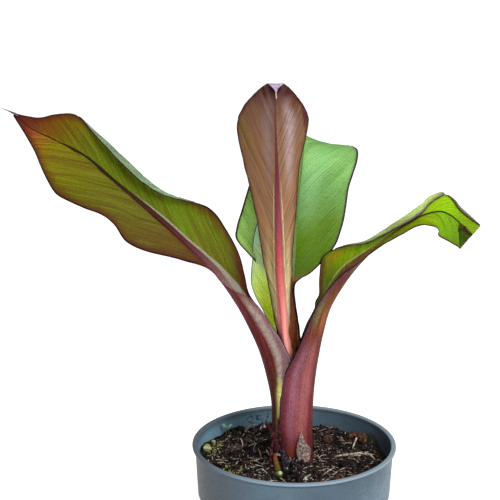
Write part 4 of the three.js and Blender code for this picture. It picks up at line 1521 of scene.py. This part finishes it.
class Scatter(Tree):
    """Geometry Nodes that strew one kind of body over a surface."""

    def __init__(self, plan: Strewing) -> None:
        """Keeps the plan and builds its node tree.

        Args:
            plan: What is strewn, and how.
        """
        self.plan = plan
        super().__init__(bpy.data.node_groups.new(f"strew_{plan.name}", "GeometryNodeTree"))
        face = self.tree.interface
        for name, kind in (("Ground", "Geometry"), ("Number", "Float"), ("Tilt", "Float"),
                           ("Smallest", "Vector"), ("Largest", "Vector"), ("Seed", "Int")):
            face.new_socket(name, in_out="INPUT", socket_type=f"NodeSocket{kind}")
        face.new_socket("Bits", in_out="OUTPUT", socket_type="NodeSocketGeometry")
        self.wire()

    def wire(self) -> None:
        """Wires points on the ground, the small body, its turns and sizes, and the end."""
        source = self.node("NodeGroupInput", {}).outputs
        spots = self.node("GeometryNodeDistributePointsOnFaces", {
            "Mesh": source["Ground"], "Density": source["Number"], "Seed": source["Seed"]})
        tilt = source["Tilt"]
        back = self.math("MULTIPLY", tilt, -1.0)
        turns = {0: self.vector(back, back), 1: self.vector(tilt, tilt, 2 * math.pi),
                 "Seed": source["Seed"]}
        turn = self.node("FunctionNodeRandomValue", turns, data_type="FLOAT_VECTOR")
        chance = self.node("FunctionNodeRandomValue", {2: 0.0, 3: 1.0, "Seed": 7},
                           data_type="FLOAT").outputs[1]
        large_is_rare = 2.4
        share = self.math("POWER", chance, large_is_rare)
        size = self.node("ShaderNodeMix", {0: share, 4: source["Smallest"], 5: source["Largest"]},
                         data_type="VECTOR").outputs[1]
        uneven = self.node("FunctionNodeRandomValue", {0: (0.7, 0.7, 0.7), 1: (1.3, 1.3, 1.3),
                                                       "Seed": 5}, data_type="FLOAT_VECTOR")
        size = self.node("ShaderNodeVectorMath", {0: size, 1: uneven.outputs[0]},
                         operation="MULTIPLY").outputs[0]
        strewn = self.node("GeometryNodeInstanceOnPoints", {
            "Points": spots.outputs["Points"], "Instance": self.body(),
            "Rotation": turn.outputs[0], "Scale": size})
        real = self.node("GeometryNodeRealizeInstances", {0: strewn.outputs[0]})
        dressed = self.node("GeometryNodeSetMaterial", {
            0: real.outputs[0], "Material": self.plan.matter.build()})
        self.node("NodeGroupOutput", {0: dressed.outputs[0]})

    def body(self) -> Socket:
        """Makes the small body, about one millimetre long before it is scaled.

        Returns:
            Its geometry.
        """
        if self.plan.kind is Bit.FIBRE:
            bend = self.node("GeometryNodeCurveQuadraticBezier", {
                "Resolution": 6, "Start": (-0.5 * MM, 0, 0), "Middle": (0, 0.3 * MM, 0.22 * MM),
                "End": (0.5 * MM, 0.05 * MM, 0.02 * MM)})
            ring = self.node("GeometryNodeCurvePrimitiveCircle", {"Resolution": 4,
                                                                  "Radius": 0.055 * MM})
            return self.node("GeometryNodeCurveToMesh", {
                0: bend.outputs[0], "Profile Curve": ring.outputs[0],
                "Fill Caps": True}).outputs[0]
        if self.plan.kind is Bit.CHIP:
            ball = self.node("GeometryNodeMeshUVSphere", {"Radius": 0.5 * MM, "Segments": 7,
                                                          "Rings": 5})
        else:
            ball = self.node("GeometryNodeMeshIcoSphere", {"Radius": 0.5 * MM,
                                                           "Subdivisions": 1})
        lumps = self.node("ShaderNodeTexNoise", {"Scale": 2.2 / MM, "Detail": 1.0})
        push = self.node("ShaderNodeVectorMath", {0: lumps.outputs["Color"], 1: (0.5, 0.5, 0.5)},
                         operation="SUBTRACT")
        return self.node("GeometryNodeSetPosition", {
            0: ball.outputs[0], "Offset": self.scale(push.outputs[0], 0.9 * MM)}).outputs[0]

    def grow(self, compost: Compost) -> bpy.types.Object:
        """Strews the bits over the compost and turns them into a plain piece.

        Args:
            compost: What they lie on.

        Returns:
            The finished piece.
        """
        ground = Shell()
        ground.add(*compost.surface(*self.plan.patch))
        host = ground.piece(f"compost_{self.plan.name}", [])
        maker = host.modifiers.new("strew", "NODES")
        maker.node_group = self.tree
        values = {"Number": self.plan.number * 100.0, "Tilt": self.plan.tilt,
                  "Smallest": self.plan.low, "Largest": self.plan.high, "Seed": self.plan.seed}
        for item in self.tree.interface.items_tree:
            if item.in_out == "INPUT" and item.name in values:
                maker[item.identifier] = values[item.name]
        shape = host.evaluated_get(bpy.context.evaluated_depsgraph_get())
        plain = bpy.data.meshes.new_from_object(shape)
        host.modifiers.clear()
        host.data = plain
        return settle(host, "compost")


BLACK_CRUMB = Matter("compost_crumb", ((8, 6, 7), (22, 17, 18), (40, 32, 33), (74, 60, 52)), 2.2)
DARK_CLOD = Matter("compost_clod", ((10, 8, 8), (28, 22, 24), (30, 30, 20), (60, 48, 44)), 6, 0.9, 0.6)
BARK = Matter("compost_bark", ((40, 30, 30), (96, 80, 72), (60, 46, 44), (134, 114, 98)), 5)
STRAW = Matter("compost_straw", ((104, 88, 74), (206, 190, 164), (128, 108, 90), (240, 230, 212)), 5, 0.8,
               0.15, 0.6)
DARK_ROOT = Matter("compost_root", ((40, 30, 32), (84, 66, 66), (52, 44, 34)), 5)
WHITE_GRAIN = Matter("compost_grain", ((150, 146, 140), (240, 238, 230), (206, 198, 180)), 3)
MOSS = Matter("compost_moss", ((84, 94, 34), (178, 180, 72), (222, 216, 130)), 2)

STREWN = (
    Strewing("crumbs", Bit.CRUMB, 2300, (0.9, 0.8, 0.7), (3.4, 2.8, 2.2), 3.0, 3, BLACK_CRUMB,
             (0, 0, 77.5)),
    Strewing("clods", Bit.CHIP, 260, (2.2, 2.0, 1.6), (9.0, 7.0, 5.0), 3.0, 6, DARK_CLOD, (0, 0, 73)),
    Strewing("chips", Bit.CHIP, 110, (2.4, 1.6, 0.6), (8.5, 5.0, 1.4), 0.7, 8, BARK, (0, 0, 73.5)),
    Strewing("straws", Bit.FIBRE, 190, (3.5, 4.0, 4.0), (15.0, 9.0, 9.0), 0.45, 21, STRAW, (0, 0, 70)),
    Strewing("shreds", Bit.FIBRE, 520, (1.8, 3.0, 3.0), (5.0, 6.0, 6.0), 0.6, 24, STRAW, (0, 0, 75.5)),
    Strewing("roots", Bit.FIBRE, 420, (4.0, 5.0, 5.0), (16.0, 12.0, 12.0), 0.5, 27, DARK_ROOT, (0, 0, 69)),
    Strewing("grains", Bit.CRUMB, 210, (0.6, 0.6, 0.5), (1.9, 1.7, 1.4), 3.0, 31, WHITE_GRAIN, (0, 0, 77)),
    Strewing("moss_left", Bit.CRUMB, 5000, (0.8, 0.8, 0.7), (2.6, 2.2, 1.8), 3.0, 44, MOSS, (-68, 15, 8)),
    Strewing("moss_front", Bit.CRUMB, 6500, (0.8, 0.8, 0.7), (2.8, 2.4, 2.0), 3.0, 47, MOSS,
             (-51, -18, 9)))


@dataclass
class Scrap:
    """A small thin sheet between two edges, such as a dry scale or a strip of leaf."""

    left: Path
    right: Path
    cup: float = 0.8  # how far its middle stands out towards the front
    crumple: float = 0.35
    thick: float = 0.5
    seed: int = 1
    rows: int = 40
    columns: int = 14

    def add_to(self, shell: Shell, look: int = 0) -> None:
        """Adds the closed sheet to a shell.

        Args:
            shell: Where it is added.
            look: Which material it takes.
        """
        a, b = through(self.left, self.rows), through(self.right, self.rows)
        v = np.linspace(0, 1, self.columns)
        points = a[:, None] * (1 - v)[None, :, None] + b[:, None] * v[None, :, None]
        along = unit(np.gradient(points, axis=0))
        across = unit(np.gradient(points, axis=1) + 1e-6)
        facing = unit(np.cross(along, across))
        front = 1.0 if facing[..., 1].mean() < 0 else -1.0
        wide = np.linalg.norm(b - a, axis=1)[:, None]
        arch = self.cup * np.sin(np.pi * v)[None] * np.minimum(wide / 8, 1)
        s = np.broadcast_to(np.arange(self.rows)[:, None] * 0.8, arch.shape)
        arch = arch + self.crumple * rough(s + 50, v[None] * wide + 90, 2.2, self.seed)
        outer = points + facing * front * arch[..., None]
        inner = outer - facing * front * self.thick
        sides = (inner, outer) if front > 0 else (outer, inner)
        shell.add_slab(*sides, (look, look))


@dataclass
class Strand:
    """A thin round thing along a path, such as a straw, a shoot or a thread."""

    path: Path
    radii: Sequence[float]
    steps: int = 16
    sides: int = 6

    def add_to(self, shell: Shell, look: int = 0) -> None:
        """Adds the strand to a shell.

        Args:
            shell: Where it is added.
            look: Which material it takes.
        """
        radii = through([[r] for r in self.radii], self.steps)[:, 0]
        shell.add(*tube(through(self.path, self.steps), np.maximum(radii, 0.08), self.sides), look)


@dataclass
class Litter:
    """What lies on the compost and round the foot of the stem in its own place."""

    compost: Compost

    def build(self) -> list[bpy.types.Object]:
        """Builds the dry scale, the withered strips, the straws and the shoots.

        Returns:
            The finished pieces.
        """
        return [self.scale(), self.strips(), self.straws(), self.chunks(), self.shoots()]

    def scale(self) -> bpy.types.Object:
        """Builds the dry papery scale on the front of the stem.

        Returns:
            The finished piece.
        """
        shell = Shell()
        left = ((5.2, -19.4, 147.2), (3.0, -20.2, 139.8), (1.9, -20.6, 134.5),
                (1.6, -21.2, 128.3), (3.5, -22.0, 120.5))
        right = ((5.6, -19.4, 147.2), (7.3, -19.8, 140.6), (10.0, -19.2, 135.4),
                 (13.3, -18.2, 130.1), (11.5, -20.0, 120.5))
        Scrap(left, right, cup=1.2, crumple=0.7, seed=5, rows=60, columns=24).add_to(shell)
        dry = Matter("stem_scale_dry", ((96, 74, 70), (176, 156, 146), (120, 100, 94), (204, 188, 176)),
                     1.6, 0.45, 0.5)
        return dress(shell, "stem_scale", "stem", dry)

    def strips(self) -> bpy.types.Object:
        """Builds the withered strips of old sheath at the stem's foot.

        Returns:
            The finished piece.
        """
        shell = Shell()
        bands = (
            ((-24.6, -15, 155), (-19.5, -17, 143.5), (-14.8, -18, 131), (-13, -19, 120), 1.0, 4.6),
            ((-21.0, -14, 150), (-17.6, -16.6, 141), (-16.6, -18, 131), (-17, -19, 120), 0.8, 4.4),
            ((-14.6, -17, 157), (-13.6, -18, 146), (-12.4, -19, 136), (-11, -20, 124), 0.6, 3.4),
            ((-18.0, -18, 139), (-20.4, -19, 131), (-21.2, -20, 124), (-20, -21, 117), 0.8, 3.2),
        )
        for n, (a, b, c, d, narrow, wide) in enumerate(bands):
            left = [a, b, c, d]
            grow = (narrow, wide * 0.7, wide, wide * 0.8)
            right = [(p[0] + w, p[1] - 0.6, p[2]) for p, w in zip(left, grow)]
            Scrap(left, right, cup=1.0, crumple=0.5, seed=20 + n).add_to(shell)
        violet = (((-12.8, -20.5, 133), (-11.6, -22, 127), (-9.4, -23.5, 121), (-6, -25, 114)),
                  ((-9.6, -20.8, 132), (-5.4, -22.4, 127), (-3.0, -24, 121), (-1.5, -25, 114)))
        Scrap(*violet, cup=1.6, crumple=0.9, seed=31).add_to(shell, 1)
        shred = (((-2.8, -22, 126), (-2.4, -23.6, 121), (-3.6, -26, 115)),
                 ((1.4, -22, 124), (1.6, -24, 119), (0.4, -26.6, 114)))
        Scrap(*shred, cup=1.2, crumple=0.9, seed=33).add_to(shell, 1)
        low = ((2.0, -22.6, 122.5), (9.4, -21.6, 121.5), (-7.0, -23.6, 120), (-11.4, -22.6, 124))
        for n, (x, y, z) in enumerate(low):
            near = ((x, y, z), (x + 1.4, y - 2.4, z - 4.2), (x + 2.2, y - 6.4, z - 9.4))
            far = ((x + 3.2, y, z - 1), (x + 5.4, y - 2, z - 5), (x + 4.6, y - 6, z - 9.4))
            Scrap(near, far, cup=1.3, crumple=0.9, seed=34 + 7 * n).add_to(shell, 1)
        rim = (((-15.5, -19.6, 128), (-9.6, -20.8, 127.2), (-5.2, -21.2, 125.2),
                (-1.2, -21.4, 124.2), (2.6, -21.6, 122.6)),
               ((-15.2, -20.4, 126.4), (-9.4, -21.6, 125.4), (-5.0, -22, 123),
                (-1.0, -22.2, 122.4), (2.6, -22.2, 121.2)))
        Scrap(*rim, cup=0.4, crumple=0.9, seed=37, rows=60).add_to(shell, 2)
        dark = Matter("stem_strip", ((44, 12, 20), (86, 28, 34), (60, 34, 46), (112, 60, 58)), 2.6, 0.5,
                      0.4)
        blue = Matter("stem_strip_violet", ((24, 16, 26), (52, 34, 50), (34, 26, 42), (110, 96, 116)), 2,
                      0.6, 0.5)
        pale = Matter("stem_strip_rim", ((120, 86, 70), (206, 184, 176), (164, 140, 150)), 1.4, 0.5, 0.5)
        return dress(shell, "stem_strips", "stem", dark, blue, pale)

    def straws(self) -> bpy.types.Object:
        """Builds the pale straws that lie where they are seen.

        Returns:
            The finished piece.
        """
        at = self.compost.at
        shell = Shell()
        lines = (
            ((-43, 40, 1.4), (-38, 56, 3.0), (-32, 73, 2.6), (0.5, 0.9, 0.7)),
            ((-45, 36, 1.4), (-43, 28, 2.0), (-44, 21, 1.2), (0.4, 0.6, 0.4)),
            ((-23, 15, 2.0), (-20, 4, 2.6), (-17, -8, 1.2), (0.5, 0.8, 0.4)),
            ((-30, 20, 1.5), (-28, 8, 2.4), (-27, -2, 1.2), (0.3, 0.5, 0.3)),
            ((51, 24, 1.6), (55, 34, 3.4), (59, 44, 3.0), (0.5, 0.9, 0.5)),
            ((34, 2, 1.6), (50, 6, 2.6), (69, 9, 2.0), (0.6, 1.3, 0.9)),
            ((40, 9, 1.4), (52, 12, 2.6), (64, 15, 1.6), (0.4, 0.7, 0.4)),
            ((58, 14, 1.4), (64, 6, 2.4), (69, -1, 1.4), (0.5, 0.9, 0.4)),
            ((22, -32, 1.2), (28, -24, 2.4), (33, -15, 1.4), (0.4, 0.7, 0.4)),
            ((-30, -22, 1.2), (-26, -27, 2.2), (-20, -34, 1.0), (0.4, 0.6, 0.3)),
            ((-35, 3, 1.5), (-30, -6, 2.2), (-27, -12, 1.2), (0.3, 0.5, 0.3)),
            ((6, -42, 1.2), (9, -38, 2.6), (13, -33, 1.6), (0.5, 1.0, 0.5)),
        )
        for *points, radii in lines:
            Strand([at(x, y, over) for x, y, over in points], radii).add_to(shell)
        return dress(shell, "compost_long_straws", "compost", STRAW)

    def chunks(self) -> bpy.types.Object:
        """Builds the bark chip, the crumpled dry leaf, the seed ball and a few lumps.

        Returns:
            The finished piece.
        """
        shell = Shell()
        lumps = (
            ((-50, 23, 2.0), (14, 11, 5), 0), ((-38, 30, 1.5), (8, 5, 4), 0),
            ((60, 35, 1.5), (12, 9, 10), 1), ((53, 43, 1.0), (10, 7, 9), 1),
            ((30, 38, 1.0), (12, 8, 6), 1), ((-73, 9, 2.4), (7, 6.4, 5), 2),
            ((-68, 24, 1.6), (4, 3.2, 2.4), 2), ((42, -10, 1.0), (13, 8, 5), 3),
            ((36, -33, 1.0), (12, 7, 4), 1), ((-24, 60, 2.2), (2.2, 2.2, 2.2), 4),
            ((8, -41, 1.6), (3.4, 1.8, 1.8), 4))
        for seed, (place, size, look) in enumerate(lumps, 41):
            self.lump(shell, place, size, seed, look)
        leaf = Matter("compost_dry_leaf", ((44, 26, 22), (98, 60, 42), (66, 44, 40), (136, 96, 70)), 3,
                      0.6, 0.6)
        ball = Matter("compost_seed_ball", ((176, 172, 120), (226, 222, 176), (150, 150, 90)), 4)
        return dress(shell, "compost_chunks", "compost", BARK, leaf, ball, DARK_CLOD, WHITE_GRAIN)

    def lump(self, shell: Shell, place: tuple[float, float, float],
             size: tuple[float, float, float], seed: int, look: int) -> None:
        """Adds one uneven lump.

        Args:
            shell: Where it is added.
            place: Where it lies, with how far its middle is over the compost.
            size: Its length, width and height.
            seed: Chooses its shape.
            look: Which material it takes.
        """
        rings, sides = 14, 20
        polar = np.linspace(0, np.pi, rings + 2)[1:-1, None]
        x, y = circle(sides)
        ball = np.stack([np.sin(polar) * x, np.sin(polar) * y, np.cos(polar) + 0 * x], 2)
        ends = np.array([[0, 0, 1.0], [0, 0, -1.0]])
        points = np.concatenate([ball.reshape(-1, 3), ends])
        uneven = rough(points[:, 0] * 3 + 7, points[:, 1] * 3 + points[:, 2] * 2.3, 1.0, seed)
        points = points * (1 + 0.3 * uneven)[:, None] * np.array(size) / 2
        swing = np.random.default_rng(seed).uniform(0, np.pi)
        c, s = math.cos(swing), math.sin(swing)
        points = points @ np.array([[c, s, 0], [-s, c, 0], [0, 0, 1]])
        points = points + np.array(self.compost.at(*place))
        shell.add(points, drum_faces(rings, sides), look)

    def shoots(self) -> bpy.types.Object:
        """Builds the young shoot by the stem and the seedling at the back left.

        Returns:
            The finished piece.
        """
        at = self.compost.at
        shell = Shell()
        Strand(((-16.5, -20, 128), (-15.6, -23, 122), (-14, -26, 116), (-12.8, -28, 112)),
               (1.3, 2.2, 2.6, 2.0), sides=10).add_to(shell, 0)
        Strand((at(-12.2, -29.5, 0), at(-12.0, -30.5, 2.6), at(-11.6, -31, 4.2)),
               (1.0, 1.9, 0.8), sides=10).add_to(shell, 1)
        Strand((at(-15, -28, -2), at(-14.6, -29.6, 1.0), at(-10.4, -32, 1.2)),
               (1.8, 2.0, 0.8), sides=10).add_to(shell, 2)
        stalk = [at(-58, 46, 0), at(-57.4, 46, 4), at(-56.6, 46, 7.5)]
        Strand(stalk, (0.5, 0.45, 0.4)).add_to(shell, 2)
        x, y, z = stalk[2]
        for way, high in ((-1, 3.2), (1, 3.0)):
            near = ((x, y, z), (x + way * 2.4, y - 1.4, z + high - 1.4), (x + way * 5, y, z + high))
            far = ((x, y, z + 0.3), (x + way * 2.4, y + 1.4, z + high), (x + way * 5.2, y, z + high))
            Scrap(near, far, cup=0.3, crumple=0.05, rows=14, columns=8).add_to(shell, 3)
        ginger = Matter("shoot_sheath", ((150, 84, 30), (96, 60, 26), (110, 96, 34)), 3, 0.5, 0.3, 0.5)
        cream = Matter("shoot_bud", ((214, 226, 168), (236, 240, 210)), 3)
        green = Matter("shoot_green", ((70, 96, 30), (104, 134, 50)), 3, 0.6, 0.2)
        blade = Matter("shoot_blade", ((140, 176, 140), (176, 206, 176)), 3, 0.6, 0.2)
        return dress(shell, "compost_shoots", "leaf_green", ginger, cream, green, blade)


@dataclass
class Tips:
    """The fine ends of the leaves: threads, the folded top flap and the curled end."""

    def build(self) -> list[bpy.types.Object]:
        """Builds the ends of the left, centre and right leaves."""
        return [self.thread(), self.flap(), self.curl()]

    def thread(self) -> bpy.types.Object:
        """Builds the fine dry thread at the tip of the left leaf.

        Returns:
            The finished piece.
        """
        shell = Shell()
        Strand(((-222, 19.6, 401.4), (-225.4, 20, 403.1), (-230, 20, 405.1), (-236, 20, 407.6)),
               (1.1, 0.9, 0.45, 0.12), steps=30).add_to(shell)
        dry = Matter("tip_thread", ((70, 24, 38), (120, 90, 110)), 4, 0.8, 0.1)
        return dress(shell, "leaf_left_thread", "leaf_green", dry)

    def flap(self) -> bpy.types.Object:
        """Builds the lilac tip that folds forward over the centre leaf's flat top.

        Returns:
            The finished piece.
        """
        shell = Shell()
        left = ((-22.6, -3.4, 429.6), (-20.0, -4.6, 427.6), (-18.0, -5.4, 425.4),
                (-16.9, -5.8, 422.4))
        right = ((-10.6, -3.4, 429.6), (-13.6, -4.6, 427.6), (-15.4, -5.4, 425.4),
                 (-16.3, -5.8, 422.4))
        Scrap(left, right, cup=0.4, crumple=0.25, thick=0.6, seed=61).add_to(shell, 0)
        Strand(((-16.6, -5.6, 423.0), (-16.5, -5.9, 420.8), (-16.3, -5.8, 418.2)),
               (0.55, 0.5, 0.25)).add_to(shell, 1)
        lilac = Matter("tip_lilac", ((150, 128, 156), (196, 172, 204), (172, 146, 170)), 2.2, 0.5, 0.3)
        cream = Matter("tip_cream", ((206, 168, 150), (228, 196, 176)), 3)
        return dress(shell, "leaf_centre_flap", "leaf_bronze", lilac, cream)

    def curl(self) -> bpy.types.Object:
        """Builds the brown curled tip in the pocket at the end of the right leaf.

        Returns:
            The finished piece.
        """
        shell = Shell()
        Strand(((131.0, 4.2, 309.5), (132.6, 3.8, 313.2), (136.2, 4.6, 313.0),
                (139.6, 4.8, 309.4), (142.4, 4.4, 307.4)), (0.3, 0.7, 0.85, 0.7, 0.3),
               sides=8).add_to(shell)
        brown = Matter("tip_brown", ((36, 20, 10), (72, 38, 20), (96, 60, 38)), 2.6, 0.5, 0.4)
        return dress(shell, "leaf_right_curl", "leaf_green", brown)


@dataclass
class Heart:
    """The heart of the stem, inside the sheaths of the outer leaves."""

    axis: float = -2.0
    radius: float = 13.2
    shoulder: float = 165.0
    top: float = 182.0
    sides: int = 48

    def build(self) -> bpy.types.Object:
        """Builds the rolled heart of the stem.

        Returns:
            The finished piece.
        """
        z = np.array([FOOT, 120, 140, self.shoulder, 172, 178, self.top])
        radius = np.array([1, 1, 1, 1, 0.85, 0.66, 0.45]) * self.radius
        points, faces = tube(np.stack([0 * z + self.axis, 0 * z, z], 1), radius, self.sides)
        turn = np.arctan2(points[:, 1], points[:, 0] - self.axis)
        up = (points[:, 2] - FOOT) / (self.top - FOOT)
        shell = Shell()
        shell.add(points, faces, 0, row=up, share=turn / np.pi, reach=points[:, 2],
                  span=turn * 13, inset=np.full(len(points), 20.0))
        return settle(shell.piece("stem_heart", [HEART.build()]), "stem", "pseudostem")


@dataclass
class Studio:
    """The pale floor, the soft lights and the camera."""

    lens: float = 94.75
    sensor: float = 36.0
    place: tuple[float, float, float] = (-36.78, -1024.1, 562.2)
    pitch: float = 14.6

    def build(self) -> None:
        """Builds the floor, the lights, the pale surroundings and the camera."""
        self.floor()
        self.surroundings()
        self.light("key", (620, -900, 1100), 0.7, 22.0)
        self.light("fill", (-900, -900, 500), 1.2, 3.0)
        self.camera()
        bpy.context.scene.view_settings.view_transform = "Standard"

    def floor(self) -> None:
        """Lays a wide, softly glowing pale floor."""
        shell = Shell()
        half, rows = 9000.0, 24
        level = np.linspace(-half, half, rows)
        gx, gy = np.meshgrid(level, level, indexing="ij")
        shell.add(np.stack([gx, gy, np.zeros_like(gx)], 2), grid_faces(rows, rows, True))
        g = Graph("floor_white")
        tone = g.mix(g.noise(g.place(), 0.004, 2), paint(250, 250, 250, 1), paint(253, 253, 252, 1))
        white = g.finish(tone, 0.9, Specular_IOR_Level=0.1, Emission_Color=(1, 1, 1, 1),
                         Emission_Strength=0.62)
        shell.piece("floor", [white])

    def surroundings(self) -> None:
        """Lights the scene evenly from all round."""
        world = bpy.data.worlds.new("pale_room")
        world.use_nodes = True
        tree = world.node_tree
        tree.nodes["Background"].inputs[0].default_value = (1.0, 1.0, 1.0, 1.0)
        tree.nodes["Background"].inputs[1].default_value = 0.5
        bpy.context.scene.world = world

    def light(self, name: str, place: tuple[float, float, float], size: float,
              power: float) -> None:
        """Adds a large soft light that points at the plant.

        Args:
            name: Its name.
            place: Where it hangs, in millimetres.
            size: Its side in metres.
            power: Its power in watts.
        """
        data = bpy.data.lights.new(name, "AREA")
        data.size, data.energy = size, power
        made = bpy.data.objects.new(name, data)
        bpy.context.scene.collection.objects.link(made)
        where = np.array(place) * MM
        made.location = where
        aim = np.array([0, 0, 0.22]) - where
        made.rotation_euler = (math.pi / 2 + math.atan2(aim[2], math.hypot(aim[0], aim[1])), 0,
                               math.atan2(-aim[0], aim[1]))

    def camera(self) -> None:
        """Places the camera as the photograph was taken."""
        data = bpy.data.cameras.new("camera")
        data.lens, data.sensor_width = self.lens, self.sensor
        data.clip_start, data.clip_end = 0.05, 60
        made = bpy.data.objects.new("camera", data)
        made.location = [v * MM for v in self.place]
        made.rotation_euler = (math.radians(90 - self.pitch), 0, 0)
        bpy.context.scene.collection.objects.link(made)
        bpy.context.scene.camera = made


def leaves() -> list[Leaf]:
    """Lists the leaves in the order in which they are built.

    Returns:
        The leaves with their rows and finishes.
    """
    return [
        Leaf("leaf_left_sheet", LEFT_ROWS, LEFT_UPPER, LEFT_UNDER,
             ("pseudostem", "stalk_left", "leaf_left"), "leaf_green",
             ribs=(3, 3, 3, 3, 4, 8.5, 8.3, 4.6, 3.2, 2.1, 1.2, 0.9, 0.65, 0.5, 0.4),
             aside=(0, 0, 0, 0, 0, 0, 0.6, 0.5, 1.7, 0.5, 0.3, 1.4, -0.8, -1.8, 0),
             relief=dented(ripple(86, 0.7, 3, slant=2.2), 80, -21, (36, 13), 2.8), groove=0.9,
             rolls=(Roll(Side.RIGHT, 8.05, 11.9, 5.2, full=1.3),),
             swells=(Swell(Side.LEFT, 7.1, 0.7, -3.5), Swell(Side.LEFT, 8.6, 0.8, 3.4),
                     Swell(Side.LEFT, 9.6, 0.6, -3.8), Swell(Side.LEFT, 10.5, 1.2, 1.5),
                     Swell(Side.RIGHT, 11.1, 1.2, -3.6))),
        Leaf("leaf_right_sheet", RIGHT_ROWS, RIGHT_UPPER, RIGHT_UNDER,
             ("pseudostem", "stalk_right", "leaf_right", "leaf_right_tip"), "leaf_green",
             ribs=(3, 3, 3, 3, 3, 3, 3, 2.2, 1.4, 0.9, 0.8, 0.75, 0.75, 0.75, 0.7),
             relief=pocketed(dented(ripple(60, 0.35, 13), 78, 31, (34, 12), -2.8), 283.6, 1.6),
             groove=0.7,
             rolls=(Roll(Side.LEFT, 7.3, 12.1, 8.0, 1.2, 192, full=0.4),
                    Roll(Side.LEFT, 12.2, 13.98, 1.6, 0.6, 180)),
             swells=(Swell(Side.LEFT, 5.85, 0.26, 1.8),)),
        Leaf("leaf_centre_sheet", CENTRE_ROWS, CENTRE_UPPER, CENTRE_UNDER,
             ("stalk_centre", "leaf_centre"), "leaf_bronze",
             ribs=(3.2, 3.2, 3.0, 2.5, 1.95, 1.35, 0.7, 0.42, 0.35, 0.3, 0.3),
             ridge=(0, 0, 0.3, 0.9, 1.5, 1.5, 1.2, 0.8, 0.3, 0.1, 0),
             relief=ripple(120, 0.2, 23, 0.6, 2.3), groove=0.3),
        Leaf("leaf_back_sheet", BACK_ROWS, BACK_UPPER, BACK_UNDER,
             ("stalk_back", "leaf_back", "leaf_back_tip"), "leaf_pale",
             ribs=(3, 3, 3, 2.8, 2.4, 2.0, 1.8, 1.6, 1.4, 1.2, 1.0, 0.8, 0.6),
             relief=ripple(74, 0.6, 33, slant=1.3), groove=0.6),
        Leaf("leaf_back_fold", FOLD_ROWS, FOLD_UPPER, BACK_UNDER, ("leaf_back",), "leaf_pale",
             start=0.1, relief=ripple(60, 0.2, 43), groove=0.0, steps=160),
    ]


def report(piece: bpy.types.Object) -> None:
    """Writes one line on a finished piece to the log."""
    LOG.info("%s: %d points, %d faces", piece.name, len(piece.data.vertices),
             len(piece.data.polygons))


def main() -> None:
    """Builds the pot, the compost, the stem, the leaves and the studio in order."""
    logging.basicConfig(level=logging.INFO, format="%(message)s")
    report(Pot().build())
    compost = Compost()
    report(compost.build())
    for plan in STREWN:
        report(Scatter(plan).grow(compost))
    for piece in Litter(compost).build():
        report(piece)
    report(Heart().build())
    for leaf in leaves():
        report(leaf.build())
    for piece in Tips().build():
        report(piece)
    Studio().build()


if __name__ == "__main__":
    main()
